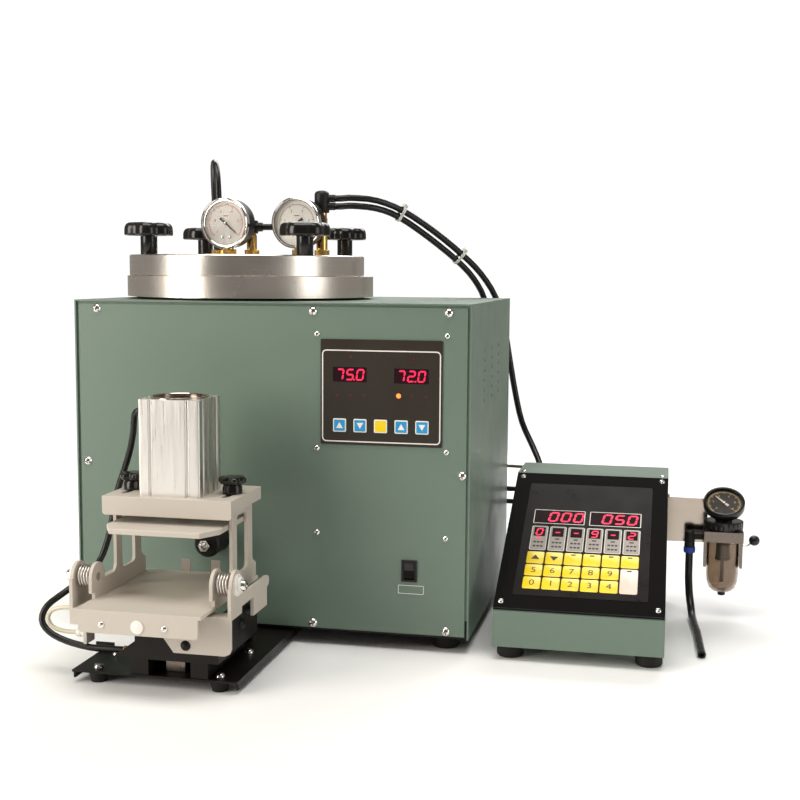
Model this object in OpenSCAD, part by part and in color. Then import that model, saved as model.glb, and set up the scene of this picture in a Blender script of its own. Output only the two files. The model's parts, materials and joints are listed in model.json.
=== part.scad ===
// Digital vacuum wax injector for jewellery work, with its pneumatic mould clamp,
// its clamp controller and its air filter regulator.
// X runs along the cabinet front to the right, Y runs away from the user, Z is up.

/* [Cabinet] */
// Width of the injector cabinet
cabinet_w = 400; // [390:1:420]
// Depth of the injector cabinet
cabinet_d = 280; // [276:1:300]
// Height of the sheet metal cabinet above its feet
cabinet_h = 320; // [310:1:340]
// Thickness of the cabinet and case sheet
sheet = 1.5; // [1:0.1:2]
// Shadow gap between the front panel and the shell
panel_gap = 2.5; // [1.5:0.1:3.5]
// Height of the rubber feet of the cabinet
foot_h = 14.5; // [14:0.5:20]
// Diameter of the rubber feet
foot_d = 25.6; // [20:0.1:30]
// Distance from a cabinet side to a foot centre
foot_inset = 27; // [20:1:40]
// Diameter of one side vent
vent_d = 4; // [2:0.1:6]
// Pitch of the vent rows
vent_pitch = 10; // [8:0.5:12]
// Rows of side vents
vent_rows = 6; // [3:1:8]
// Distance from the display film to the right side of the cabinet
film_inset = 27.5; // [24:0.1:34]
// Lower edge of the display film
film_z = 199; // [190:0.5:206]
// Width of the display film
film_w = 118.3; // [110:0.1:124]
// Height of the display film
film_h = 101; // [96:0.1:108]
// Side of one square key
key_side = 12.8; // [10:0.1:14]
// Travel of one key
key_travel = 0.6; // [0.3:0.1:0.9]
// Distance from the power switch to the right side of the cabinet
switch_inset = 58; // [50:1:90]
// Centre of the power switch above the floor
switch_z = 78.8; // [60:0.1:100]

/* [Wax pot and lid] */
// Pot centre from the left side of the cabinet
pot_x = 137.5; // [134:0.5:146]
// Pot centre behind the cabinet front
pot_y = 140; // [138:1:142]
// Inner radius of the wax pot barrel
pot_r = 65; // [55:1:70]
// Wall of the wax pot
pot_wall = 5; // [3:0.5:8]
// Radius of the lid
lid_r = 125; // [125:0.5:129]
// Thickness of the lid
lid_t = 21.7; // [16:0.1:26]
// Radius of the pot flange
flange_r = 131; // [130:0.5:136]
// Thickness of the pot flange
flange_t = 21.3; // [18:0.1:26]
// Shift of the lid to the left of the pot's centre
lid_shift = 4; // [0:0.5:4]
// Radius of the circle that the lid studs stand on
stud_circle_r = 117; // [114:0.5:117]
// Radius of a lid stud
stud_r = 4; // [3:0.5:4]
// Radius of a knob pillar
knob_pillar_r = 8.5; // [7:0.5:10]
// Outer radius of a star knob
knob_r = 25.5; // [20:0.5:28]
// Height of the knob pillar under its head
knob_pillar_h = 19; // [14:0.5:24]
// Thickness of the knob head
knob_head_h = 13.5; // [10:0.5:16]
// Radius of the gauge bezels on the lid
gauge_r = 27; // [25:0.5:28]
// Height of the gauge centres above the lid
gauge_lift = 34; // [33:0.5:40]

/* [Nozzle] */
// Nozzle and clamp axis from the left side of the cabinet
nozzle_x = 147.5; // [144:0.5:150]
// Height of the nozzle axis above the floor
nozzle_z = 100.5; // [98:0.5:103]
// Radius of the black nozzle housing
boss_r = 13; // [11:0.5:14]
// Reach of the nozzle housing in front of the cabinet
boss_reach = 28; // [22:0.5:29]
// Travel of the sprung nozzle tip
tip_travel = 3; // [1:0.5:4]

/* [Mould clamp] */
// Length of the side plates and table behind the pivot
head_back = 108; // [104:1:110]
// Reach of the mould table in front of the pivot
head_front = 40; // [36:1:46]
// Distance between the outer faces of the side plates
head_w = 114; // [108:1:118]
// Thickness of the clamp plates
plate_t = 3; // [2.5:0.1:3.5]
// Height of the mould table above the floor
table_z = 77; // [76:0.5:79]
// Height of the pivot above the floor
pivot_z = 95.5; // [94:0.5:98]
// Distance from the cabinet front to the pivot
pivot_back = 150; // [148:1:156]
// Radius of the pivot ears
ear_r = 13; // [12:0.5:15]
// Radius of the pivot pins
pin_r = 4; // [3:0.25:5]
// Height of the tray top above the floor
tray_z = 163; // [160:1:168]
// Width of the top tray
tray_w = 122; // [119:1:126]
// Width of the press cylinder
cylinder_w = 58; // [54:1:62]
// Depth of the press cylinder
cylinder_d = 55; // [52:1:58]
// Height of the press cylinder above the tray
cylinder_h = 87; // [84:1:100]
// Travel of the press plate
press_travel = 35; // [25:1:38]
// Travel of the carriage towards the nozzle
advance = 12; // [8:1:12]
// Wire diameter of the pivot springs
wire_d = 2; // [1.6:0.1:2.2]
// Mean radius of the pivot springs
spring_r = 9; // [8:0.25:10]
// Width of the black base plate
base_w = 154; // [150:1:160]
// Height of the feet under the base plate
base_foot_h = 10; // [8:0.5:10]

/* [Clamp controller] */
// Gap between the cabinet and the controller
controller_gap = 24; // [20:1:40]
// Width of the controller
controller_w = 159; // [150:1:170]
// Depth of the controller
controller_d = 261; // [255:1:280]
// Height of the controller front face
controller_front_h = 37.7; // [30:0.1:44]
// Height of the controller above its feet
controller_h = 136; // [130:0.5:145]
// Depth of the flat top behind the sloped panel
controller_flat = 73; // [60:1:80]
// Thickness of the black acrylic panel
acrylic_t = 3; // [2:0.5:5]

/* [Filter regulator] */
// Gap between the controller and the regulator body
regulator_gap = 38.5; // [30:0.5:50]
// Side of the square regulator body
regulator_side = 40; // [36:0.5:44]
// Height of the regulator body's top above the floor
regulator_z = 94.4; // [90:0.2:100]
// Outer radius of the filter bowl
bowl_r = 16.7; // [14:0.1:17]
// Height of the bowl bottom above the floor
bowl_z = 27; // [20:0.5:32]
// Radius of the regulator gauge
dial_r = 21.5; // [18:0.5:22]
// Tilt of the regulator gauge towards the user
dial_tilt = 35; // [20:1:40]
// Radius of the air supply hose
supply_r = 4; // [3:0.5:4]

/* [Hidden] */
$fn = 64;

// Clearances
run_fit = 0.05;      // radial clearance of a pin in its bore
slip = 0.3;          // clearance of a piece that moves beside another
screw_clear = 0.3;   // radial clearance of a screw in its hole
eps = 1;             // how far a cut runs past the face it opens

// Cabinet levels
cab_z0 = foot_h;
cab_z1 = foot_h + cabinet_h;
shell_in = sheet;
panel_y = 1;                             // how far the panel lies behind the shell's front edge
lip_y = panel_y + sheet;                 // front face of the lips that the panels are screwed to
lip_w = 18;                              // width of those lips
panel_x0 = sheet + panel_gap;
panel_x1 = cabinet_w - sheet - panel_gap;
film_x = cabinet_w - film_inset - film_w;
switch_x = cabinet_w - switch_inset;
inlet_x = 60;                            // mains inlet in the rear panel
inlet_z = 60;
rear_vent_w = 100;                       // slots in the rear panel
rear_vent_z = 180;
window_side = 8;                         // display opening inside the film's edges
window_over_keys = 16;
window_h = film_h - 44;
panel_z0 = cab_z0 + panel_gap;
panel_z1 = cab_z1 - sheet - panel_gap;
rear_y = cabinet_d - panel_y;            // outer face of the rear panel

// Pot and lid levels
gasket_t = 2.5;
flange_z0 = cab_z1 + gasket_t;
flange_z1 = flange_z0 + flange_t;
lid_z1 = flange_z1 + lid_t;
mouth_r = pot_r + 30;                    // wide mouth of the pot
mouth_z = cab_z1 - 12;                   // level where the mouth starts to narrow
cone_h = 30;
pot_z0 = nozzle_z - 16;                  // underside of the pot
port_y = pot_y - pot_r - pot_wall - 8;   // flat face of the outlet boss on the pot
seal_r = mouth_r + 8;
seal_w = 4;
seal_h = 2.5;
stud_angle = 45.8;
stud_depth = 13;                         // depth of a stud in the flange

// Gauges on the lid
gauge_y = pot_y - 28;                    // front of the gauges
gauge_depth = 27;
gauge_stem_y = gauge_y + gauge_depth / 2;
gauge_turn = 5;                          // both gauges look a little to the left
vacuum_x = pot_x - 20.5;
pressure_x = pot_x + 58;
gauge_z = lid_z1 + gauge_lift;
dial_w = 21;                             // height of the dial above the back of the case
glass_w = 24;
glass_t = 1.5;
needle_bore = 0.85;
vacuum_rest = -41;                       // needle angle at rest, from the right, turning left
pressure_rest = 214;
regulator_rest = 133;

// Fittings on the lid
nut_h = 6.5;
link_y = pot_y + 11;                     // row of fittings behind the gauges
link_z = gauge_z - 3;
link_x0 = vacuum_x + 17;
link_x1 = pressure_x - 6;
tee_r = 7;
hose_r = 3.5;                            // black air hoses of the lid
double_x = pressure_x + 17;              // tall fitting that carries both lid hoses
double_z = lid_z1 + 57;
double_gap = 8.4;                        // distance between its two ports
port_reach = 15;
vent_x = vacuum_x - 21;
vent_z = lid_z1 + 18;

// Nozzle
boss_front = -boss_reach;
tip_shaft_r = 4;
tip_hex_r = 6;
tip_gap = tip_travel + slip;             // room behind the hexagon for the tip's travel
tip_hex_h = 4.8;
tip_cone_h = 4;
orifice_r = 0.8;
tip_bore = 20;

// Clamp
pivot_y = -pivot_back;
head_half = head_w / 2;
head_y0 = pivot_y - head_front;          // front of the mould table
head_y1 = pivot_y + head_back;           // back of the mould table
wire_r = wire_d / 2;
turns = 4;
spring_pitch = wire_d + 0.6;             // a coil a small gap from the next
spring_len = turns * spring_pitch + 2 * wire_d;
ear_in = head_half + spring_len;         // inner face of the outer ears
ear_out = ear_in + plate_t;
frame_z1 = table_z - 7;                  // top of the lower frame's front strip
frame_t = 2.5;
frame_z0 = frame_z1 - frame_t;
frame_y = pivot_y - 15;                  // front face of the lower frame
arm_z0 = frame_z1 + 3.5;
arm_z1 = arm_z0 + 10.5;
arm_y1 = pivot_y + 88;
leg_y0 = pivot_y + 38;
leg_y1 = pivot_y + 92;
leg_front_w = 12;
leg_back_w = 14;
window_z0 = table_z + 15;
window_z1 = tray_z - 18;
tray_t = 2;
tray_y0 = leg_y0 - 14;
tray_y1 = leg_y1 + 14;
tray_flange = 17;
flange_in = 16;                          // width of the inward flanges under the tray
tray_knob_x = head_half - 9;
tray_knob_y = (leg_y0 + leg_y1) / 2 - 1;
tray_adjust = 8;
tray_knob_r = 13;
tray_hub_r = 9;
tray_hub_h = 9;
tray_head_h = 7;
tray_screw_r = 3;
cyl_y0 = pivot_y + 32;                   // front of the press cylinder
cyl_cy = cyl_y0 + cylinder_d / 2;
mouth_ring_r = 24;                       // recess in the top of the press cylinder
cyl_z1 = tray_z + cylinder_h;
rod_r = 8;
piston_r = 20;
bore_z0 = tray_z + 12;
bore_z1 = cyl_z1 - 12;
piston_h = 16;
piston_z = bore_z1 - piston_h - slip;
press_t = 5;
press_top = tray_z - 23.5;
press_y0 = pivot_y - 3;
press_y1 = leg_y1 - 4;
press_half = head_half - plate_t - 0.7;
press_corner_x = 11.3;
press_corner_y = 20;
tab_x = 15;
tab_w = 9;
tab_h = 12;

// Base of the clamp
base_z0 = base_foot_h;
base_t = 2;
base_z1 = base_z0 + base_t;
base_y0 = pivot_y - 8;
base_y1 = 60;
base_notch_y = pivot_y + 54;             // back edge of the left part of the base plate
base_left = -base_w / 2;
base_right = base_w / 2;
base_inner = -29;
base_flange = 8;
slide_z = base_z1 + 8;
slide_r = 4;
slide_x0 = -13;
slide_x1 = 42;
slide_y0 = base_y0 + 1;
slide_y1 = -36;
block_l = 8;
block_half = 8;
runner_y0 = slide_y0 + block_l + slip;
runner_y1 = slide_y1 - block_l - advance - 4;
runner_z1 = slide_z + 8;
deck_z1 = runner_z1 + 4;
carriage_right = 62;
air_x = (slide_x0 + slide_x1) / 2;
air_half = 9;
air_y0 = runner_y0 + 6;
air_y1 = air_y0 + 52;
air_rod_r = 3;

// Controller
controller_x = cabinet_w + controller_gap;
controller_y = -7.8;
controller_z = foot_h - 1;
slope_y0 = controller_y;
slope_z0 = controller_z + controller_front_h;
slope_y1 = controller_y + controller_d - controller_flat;
slope_z1 = controller_z + controller_h;
controller_y1 = controller_y + controller_d;
slope_a = atan2(slope_z1 - slope_z0, slope_y1 - slope_y0);
slope_l = norm([slope_y1 - slope_y0, slope_z1 - slope_z0]);
acrylic_dz = acrylic_t / cos(slope_a);
case_ledge = 12;
keypad_x = 16.5;
keypad_w = 126.5;
keypad_s = 19;
keypad_l = 174.5;
keypad_t = 0.4;

// Filter regulator
reg_x0 = controller_x + controller_w + regulator_gap;
reg_x = reg_x0 + regulator_side / 2;
reg_y = 200;
reg_block_h = 11;
reg_y1 = reg_y + regulator_side / 2;
guard_t = 3;
guard_z0 = regulator_z - 40;
bowl_z1 = regulator_z - reg_block_h;
bowl_wall = 2;
reg_knob_h = 9.6;
dial_z = regulator_z + 30.4;
dial_t = 10;
elbow_x = reg_x0 - 14.5;
elbow_z = regulator_z - 8.4;
ring_z0 = elbow_z - 19;
lever_z = regulator_z - 17;
lever_r = 1.2;
ball_r = 5.6;
bracket_t = 2;
bracket_z0 = regulator_z - 20;
bracket_z1 = regulator_z + 28;

// Heater band round the pot, and the pump beside it
band_h = 60;
band_rise = 30;                          // bottom of the band above the nozzle
pump_r = 36;
pump_gap = 100;                          // axis of the pump from the pot's wall
pump_y = 90;                             // front of the pump's base

// Screws
m5_head_r = 4.6;
m5_head_h = 3;
m5_r = 2.5;
m3_head_r = 3;
m3_head_h = 2;
m3_r = 1.5;
screw_l = 8;
base_screw_l = 7;

// Free supply hose: the points that it runs along, with its centre line
supply_route = [
    [607, 200, 67], [607, 200, 44], [607.5, 198, 32], [608.5, 193, 21], [610, 185, 12],
    [611, 174, 6], [612, 160, 4], [614, 130, 4], [616, 92, 4], [618, 42, 4]
];
// Hoses between the lid, the back of the cabinet and the controller
controller_hose_route = [
    [245, 157, 442], [268, 172, 440], [292, 196, 430], [347, 258, 384],
    [366, 280, 362], [381, 297, 335], [391, 303, 300], [404, 303, 228], [414, 298, 190],
    [428, 286, 164], [438, 272, 146]
];
cabinet_hose_route = [
    [245, 157, 433.6], [267, 172, 431.6], [287, 195, 423.5], [341, 257, 377.5],
    [358, 275, 357], [369, 289, 333], [372, 293, 305]
];
vent_hose_route = [
    [96.5, 151, 430], [95, 153, 455], [91, 160, 473], [84, 173, 482], [74, 196, 481], [62, 228, 466],
    [52, 258, 435], [44, 283, 395], [39, 293, 330]
];
rear_port_y = 14;                        // distance of the rear ports' axis behind the panel
rear_port_z = 262;
rear_port_x = [39, cabinet_w - 28];
controller_port_x = controller_x + 16;
controller_port_z = 112;
controller_port_y = 11;

// Air hoses of the clamp, from the clamp's own axis
press_hose_route = [
    [-46, -87, 231], [-57, -74, 196], [-64.5, -70, 178], [-76, -71, 136], [-80, -75, 112],
    [-85, -84, 92], [-94, -98, 79], [-116, -127, 59], [-119, -132, 47],
    [-111, -134, 37], [-94, -135, 30], [-70, -136, 26]
];
drain_hose_route = [[-96, -132, 60], [-108, -132, 57], [-113, -132, 49], [-108, -132, 41], [-96, -132, 38]];
hose_in = 26;                            // height of the air inlet on the carriage
drain_z = [60, 38];
// Cables behind the cabinet and the controller
cable_y = [[300, 110], [300, 95], [294, 138]];
cable_x0 = cabinet_w - 28;
cable_x1 = controller_x + 28;

// Where the part's own origin lies: under the middle of its box, on the floor
extreme_left = 0;
ball_x = reg_x + regulator_side / 2 + 12;
extreme_right = ball_x + ball_r;
extreme_front = head_y0 - 1.8;
extreme_back = rear_y + 2;
origin_x = (extreme_left + extreme_right) / 2;
origin_y = (extreme_front + extreme_back) / 2;

module placed() {
    translate([-origin_x, -origin_y, 0]) children();
}

module at_clamp() {
    placed() translate([nozzle_x, 0, 0]) children();
}

// ---- Drawing helpers ----

// A plate drawn in X and Z, t thick, with its front face at y
module front_plate(y, t) {
    translate([0, y + t, 0]) rotate([90, 0, 0]) linear_extrude(t) children();
}

// A plate drawn in Y and Z, t thick, with its left face at x
module side_plate(x, t) {
    translate([x, 0, 0]) rotate([90, 0, 90]) linear_extrude(t) children();
}

module rod_y(x, z, y0, y1, r) {
    translate([x, y1, z]) rotate([90, 0, 0]) cylinder(h = y1 - y0, r = r);
}

module rod_x(y, z, x0, x1, r) {
    translate([x0, y, z]) rotate([0, 90, 0]) cylinder(h = x1 - x0, r = r);
}

module rod_z(x, y, z0, z1, r) {
    translate([x, y, z0]) cylinder(h = z1 - z0, r = r);
}

module box(x0, x1, y0, y1, z0, z1) {
    translate([x0, y0, z0]) cube([x1 - x0, y1 - y0, z1 - z0]);
}

module round_rect(x0, x1, y0, y1, r) {
    translate([x0 + r, y0]) square([x1 - x0 - 2 * r, y1 - y0]);
    translate([x0, y0 + r]) square([x1 - x0, y1 - y0 - 2 * r]);
    for (x = [x0 + r, x1 - r], y = [y0 + r, y1 - r]) translate([x, y]) circle(r = r);
}

// A domed screw that points along +Z with its head above z = 0
module dome_screw(head_r, head_h, shank_r, shank_l) {
    dome = (head_r * head_r + head_h * head_h) / (2 * head_h);
    rotate_extrude() intersection() {
        translate([0, head_h - dome]) circle(r = dome);
        square([head_r, head_h]);
    }
    translate([0, 0, -shank_l]) cylinder(h = shank_l, r = shank_r);
}

// The same screw in a wall that faces the user
module front_screw(x, z, y, head_r, head_h, shank_r, shank_l) {
    translate([x, y, z]) rotate([90, 0, 0]) dome_screw(head_r, head_h, shank_r, shank_l);
}

function unit(v) = v / norm(v);
function last(p) = p[len(p) - 1];
function tangent(p, i) = unit(p[min(i + 1, len(p) - 1)] - p[max(i - 1, 0)]);
function square_to(side, t) = unit(side - (side * t) * t);
function carried(t, side, i = 0) =
    i >= len(t) ? [] : let (s = square_to(side, t[i])) concat([s], carried(t, s, i + 1));
// A tube swept along points as one closed polyhedron, with its ends square to start and end
module tube(points, r, sides = 8, start = undef, end = undef) {
    n = len(points);
    t = [for (i = [0 : n - 1]) i == 0 && start != undef ? unit(start)
        : i == n - 1 && end != undef ? unit(end) : tangent(points, i)];
    first = abs(t[0][2]) > 0.9 ? [1, 0, 0] : [0, 0, 1];
    s = carried(t, first);
    skin = [for (i = [0 : n - 1], k = [0 : sides - 1])
        let (a = 360 * k / sides) points[i] + r * (cos(a) * s[i] + sin(a) * cross(t[i], s[i]))];
    walls = [for (i = [0 : n - 2], k = [0 : sides - 1], h = [0, 1])
        let (a = i * sides + k, b = i * sides + (k + 1) % sides)
            h == 0 ? [a, a + sides, b] : [b, a + sides, b + sides]];
    caps = [for (k = [1 : sides - 2], h = [0, 1])
        h == 0 ? [0, k, k + 1] : [(n - 1) * sides, (n - 1) * sides + k + 1, (n - 1) * sides + k]];
    polyhedron(points = skin, faces = concat(walls, caps));
}

// ---- Cabinet ----

mid_screw_x = film_x - 8.2;
side_screw_z = cab_z0 + 158.2;
m5_spots = [
    [panel_x0 + 19.3, panel_z1 - 4.5], [mid_screw_x, panel_z1 - 4.5], [panel_x1 - 18.2, panel_z1 - 4.5],
    [panel_x0 + 6.9, side_screw_z], [panel_x1 - 3.9, side_screw_z],
    [panel_x0 + 19.3, panel_z0 + 4.5], [mid_screw_x, panel_z0 + 4.5], [panel_x1 - 18.2, panel_z0 + 4.5]
];
film_cx = film_x + film_w / 2;
m3_half = film_w / 2 + 4.1;
m3_spots = [
    for (s = [-1, 1], z = [film_z + film_h + 4.4, film_z - 4.5, film_z - 87.2]) [film_cx + s * m3_half, z]
];
key_pitch = 20.1;
key_z = film_z + 18.7;
key_x = [for (i = [0 : 4]) film_cx - (2 - i) * key_pitch];

module lips(y) {
    front_plate(y, sheet) difference() {
        translate([shell_in, cab_z0]) square([cabinet_w - 2 * shell_in, cabinet_h - shell_in]);
        translate([lip_w, cab_z0 - eps]) square([cabinet_w - 2 * lip_w, cabinet_h - lip_w + eps]);
        translate([shell_in, cab_z0 - eps]) square([cabinet_w - 2 * shell_in, lip_w + eps + slip]);
    }
}

module cabinet_shell() {
    color("darkseagreen") placed() difference() {
        union() {
            difference() {
                box(0, cabinet_w, 0, cabinet_d, cab_z0, cab_z1);
                box(sheet, cabinet_w - sheet, -eps, cabinet_d + eps, cab_z0 - eps, cab_z1 - sheet);
            }
            lips(lip_y);
            lips(rear_y - 2 * sheet);
        }
        rod_z(pot_x, pot_y, cab_z1 - 2 * sheet, cab_z1 + eps, mouth_r + pot_wall + slip);
        for (c = [0, 1, 2], k = [0 : vent_rows - 1])
            rod_x(86 + 51 * c, cab_z1 - 48 - k * vent_pitch, -eps, cabinet_w + eps, vent_d / 2);
        for (p = m5_spots) if (p[1] > cab_z0 + lip_w)
            rod_y(p[0], p[1], lip_y - eps, lip_y + sheet + eps, m5_r + screw_clear);
    }
}

module front_panel() {
    color("seagreen") placed() difference() {
        front_plate(panel_y, sheet) difference() {
            translate([panel_x0, panel_z0]) square([panel_x1 - panel_x0, panel_z1 - panel_z0]);
            for (p = m5_spots) translate(p) circle(r = m5_r + screw_clear);
            for (p = m3_spots) translate(p) circle(r = m3_r + screw_clear);
            translate([nozzle_x, nozzle_z]) circle(r = boss_r + slip);
            translate([film_x + window_side, key_z + window_over_keys])
                square([film_w - 2 * window_side, window_h]);
            for (x = key_x) translate([x - key_side / 2 - slip, key_z - key_side / 2 - slip])
                square(key_side + 2 * slip);
            translate([switch_x - 6.5, switch_z - 9.5]) square([13, 19]);
        }
    }
}

module rear_panel() {
    color("seagreen") placed() front_plate(rear_y - sheet, sheet) difference() {
        translate([panel_x0, panel_z0]) square([panel_x1 - panel_x0, panel_z1 - panel_z0]);
        for (x = rear_port_x) translate([x, rear_port_z]) circle(r = 5);
        for (p = cable_y) translate([cable_x0, p[1]]) circle(r = 4);
        translate([inlet_x - 13.5, inlet_z - 9.75]) square([27, 19.5]);
        for (k = [0 : 9]) translate([(cabinet_w - rear_vent_w) / 2, rear_vent_z + 10 * k])
            square([rear_vent_w, 3]);
    }
}

module base_pan() {
    pan_x0 = sheet + slip;
    pan_x1 = cabinet_w - sheet - slip;
    color("dimgray") placed() difference() {
        union() {
            box(pan_x0, pan_x1, lip_y, rear_y - sheet, cab_z0, cab_z0 + sheet);
            box(pan_x0, pan_x1, lip_y, lip_y + sheet, cab_z0, cab_z0 + lip_w);
            box(pan_x0, pan_x1, rear_y - 2 * sheet, rear_y - sheet, cab_z0, cab_z0 + lip_w);
            for (x = [pan_x0, pan_x1 - sheet])
                box(x, x + sheet, lip_y, rear_y - sheet, cab_z0, cab_z0 + lip_w);
        }
        for (p = m5_spots) if (p[1] <= cab_z0 + lip_w)
            rod_y(p[0], p[1], lip_y - eps, lip_y + sheet + eps, m5_r + screw_clear);
    }
}

module foot(x, y, z1) {
    translate([x, y, 0]) rotate_extrude() polygon([
        [0, 0], [foot_d / 2 - 1.5, 0], [foot_d / 2, 2], [foot_d / 2, z1], [0, z1]
    ]);
}

module rubber_feet() {
    foot_y = [foot_inset + 1, cabinet_d - foot_inset - 1];
    control_y = [controller_y + 21, controller_y1 - 21];
    control_x = [controller_x + 15, controller_x + controller_w - 14];
    color("black") placed() {
        for (x = [foot_inset - 1, cabinet_w - foot_inset + 1], y = foot_y) foot(x, y, cab_z0);
        for (x = control_x, y = control_y) foot(x, y, controller_z);
        translate([nozzle_x, 0, 0]) for (p = base_foot_spots) difference() {
            translate([p[0], p[1], 0]) cylinder(h = base_z0, r1 = 7, r2 = 9);
            rod_z(p[0], p[1], base_z1 - base_screw_l - 0.2, base_z0 + eps, m5_r + run_fit);
        }
    }
}
base_foot_spots = [
    [base_left + 20, base_y0 + 12], [base_right - 20, base_y0 + 12],
    [base_left + 20, base_notch_y - 12], [base_right - 18, pivot_y + 75]
];

module steel_screws() {
    color("silver") placed() {
        for (p = m5_spots) front_screw(p[0], p[1], panel_y, m5_head_r, m5_head_h, m5_r, screw_l);
        for (p = m3_spots) front_screw(p[0], p[1], panel_y, m3_head_r, m3_head_h, m3_r, screw_l);
        for (p = panel_spots) on_slope(p[0], p[1], 0)
            dome_screw(m3_head_r, m3_head_h, m3_r, acrylic_t + sheet + 2);
        for (x = flat_spots) translate([x, slope_y1 + 8, slope_z1])
            dome_screw(m3_head_r, m3_head_h, m3_r, sheet + 2);
        for (z = bracket_spots) translate([controller_x + controller_w + bracket_t, bracket_flange_y, z])
            rotate([0, 90, 0]) dome_screw(m3_head_r, m3_head_h, m3_r, bracket_t + sheet + 2);
        for (x = block_spots) translate([x, reg_y1 + bracket_t, regulator_z - 5.5])
            rotate([-90, 0, 0]) dome_screw(m3_head_r, m3_head_h, m3_r, bracket_t + 5);
        translate([nozzle_x, 0, 0]) for (p = base_foot_spots) translate([p[0], p[1], base_z1])
            dome_screw(m5_head_r, 4, m5_r, base_screw_l);
    }
}

// ---- Display, keys and switch ----

module control_overlay() {
    color("#202226") placed() front_plate(panel_y - 1.2, 1.2) difference() {
        translate([film_x, film_z]) square([film_w, film_h]);
        for (x = key_x) translate([x - key_side / 2 - slip / 2, key_z - key_side / 2 - slip / 2])
            square(key_side + slip);
    }
}

module key(i, tint) {
    r = 1;
    color(tint) placed() front_plate(panel_y - 2, 3.3)
        round_rect(key_x[i] - key_side / 2, key_x[i] + key_side / 2,
            key_z - key_side / 2, key_z + key_side / 2, r);
}

module heat_up_key() {
    key(0, "deepskyblue");
}

module heat_down_key() {
    key(1, "deepskyblue");
}

module mode_key() {
    key(2, "gold");
}

module time_up_key() {
    key(3, "deepskyblue");
}

module time_down_key() {
    key(4, "deepskyblue");
}

rocker_w = 9.6;
rocker_pivot_y = panel_y + 4;
rocker_rest = 7;

module snap_in_housings() {
    color("#151515") placed() {
        difference() {
            union() {
                box(switch_x - 7.5, switch_x + 7.5, panel_y - 1.6, panel_y,
                    switch_z - 10.5, switch_z + 10.5);
                box(switch_x - 6.3, switch_x + 6.3, panel_y, panel_y + 17, switch_z - 9.3, switch_z + 9.3);
            }
            box(switch_x - rocker_w / 2 - slip, switch_x + rocker_w / 2 + slip,
                panel_y - 5, panel_y + 13, switch_z - 8.3, switch_z + 8.3);
            rod_x(rocker_pivot_y, switch_z, switch_x - 6, switch_x + 6, 1.5 + run_fit);
        }
        difference() {
            union() {
                box(inlet_x - 15.5, inlet_x + 15.5, rear_y, rear_y + 2, inlet_z - 11.5, inlet_z + 11.5);
                box(inlet_x - 13.3, inlet_x + 13.3, rear_y - 22, rear_y, inlet_z - 9.5, inlet_z + 9.5);
            }
            box(inlet_x - 11.5, inlet_x + 11.5, rear_y - 16, rear_y + 5, inlet_z - 7.8, inlet_z + 7.8);
        }
        for (x = [-7, 0, 7]) box(inlet_x + x - 1, inlet_x + x + 1, rear_y - 16, rear_y - 3,
            inlet_z - 1 - abs(x) / 7 * 2, inlet_z + 3 - abs(x) / 7 * 2);
    }
}

module power_rocker() {
    color("black") placed() translate([switch_x, rocker_pivot_y, switch_z]) rotate([-rocker_rest, 0, 0]) {
        side_plate(-rocker_w / 2, rocker_w) polygon([
            [3, -4], [3, 4], [-3.4, 7.2], [-6.6, 7.2], [-5.2, 0], [-6.6, -7.2], [-3.4, -7.2]
        ]);
        rod_x(0, 0, -5.8, 5.8, 1.5);
    }
}

module control_board() {
    board_y = lip_y + 9;
    spots = [for (x = [film_x + 6, film_x + film_w - 6], z = [film_z + 6, film_z + film_h - 6]) [x, z]];
    color("darkgreen") placed() {
        front_plate(board_y, 1.6) translate([film_x, film_z]) square([film_w, film_h]);
        for (p = spots) rod_y(p[0], p[1], lip_y, board_y, 3);
        box(film_x + 12, film_x + film_w / 2 - 4, board_y - 7, board_y, key_z + 26, key_z + 46);
        box(film_x + film_w / 2 + 4, film_x + film_w - 12, board_y - 7, board_y, key_z + 26, key_z + 46);
        for (x = key_x) box(x - 3, x + 3, lip_y + key_travel + 0.4, board_y, key_z - 3, key_z + 3);
        box(film_x + 20, film_x + 50, board_y + 1.6, board_y + 16, film_z + 20, film_z + 70);
    }
}

module vacuum_pump() {
    px = pot_x + pot_r + pump_gap;
    pump_z0 = cab_z0 + sheet;
    color("slategray") placed() {
        box(px - pump_r - 4, px + pump_r + 4, pump_y, pump_y + 100, pump_z0, pump_z0 + 10);
        rod_y(px, pump_z0 + pump_r + 6, pump_y - 10, pump_y + 64, pump_r);
        rod_z(px, pump_y + 80, pump_z0 + 10, pump_z0 + 2 * pump_r + 20, pump_r - 16);
    }
}

// ---- Pot, heater and nozzle ----

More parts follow.
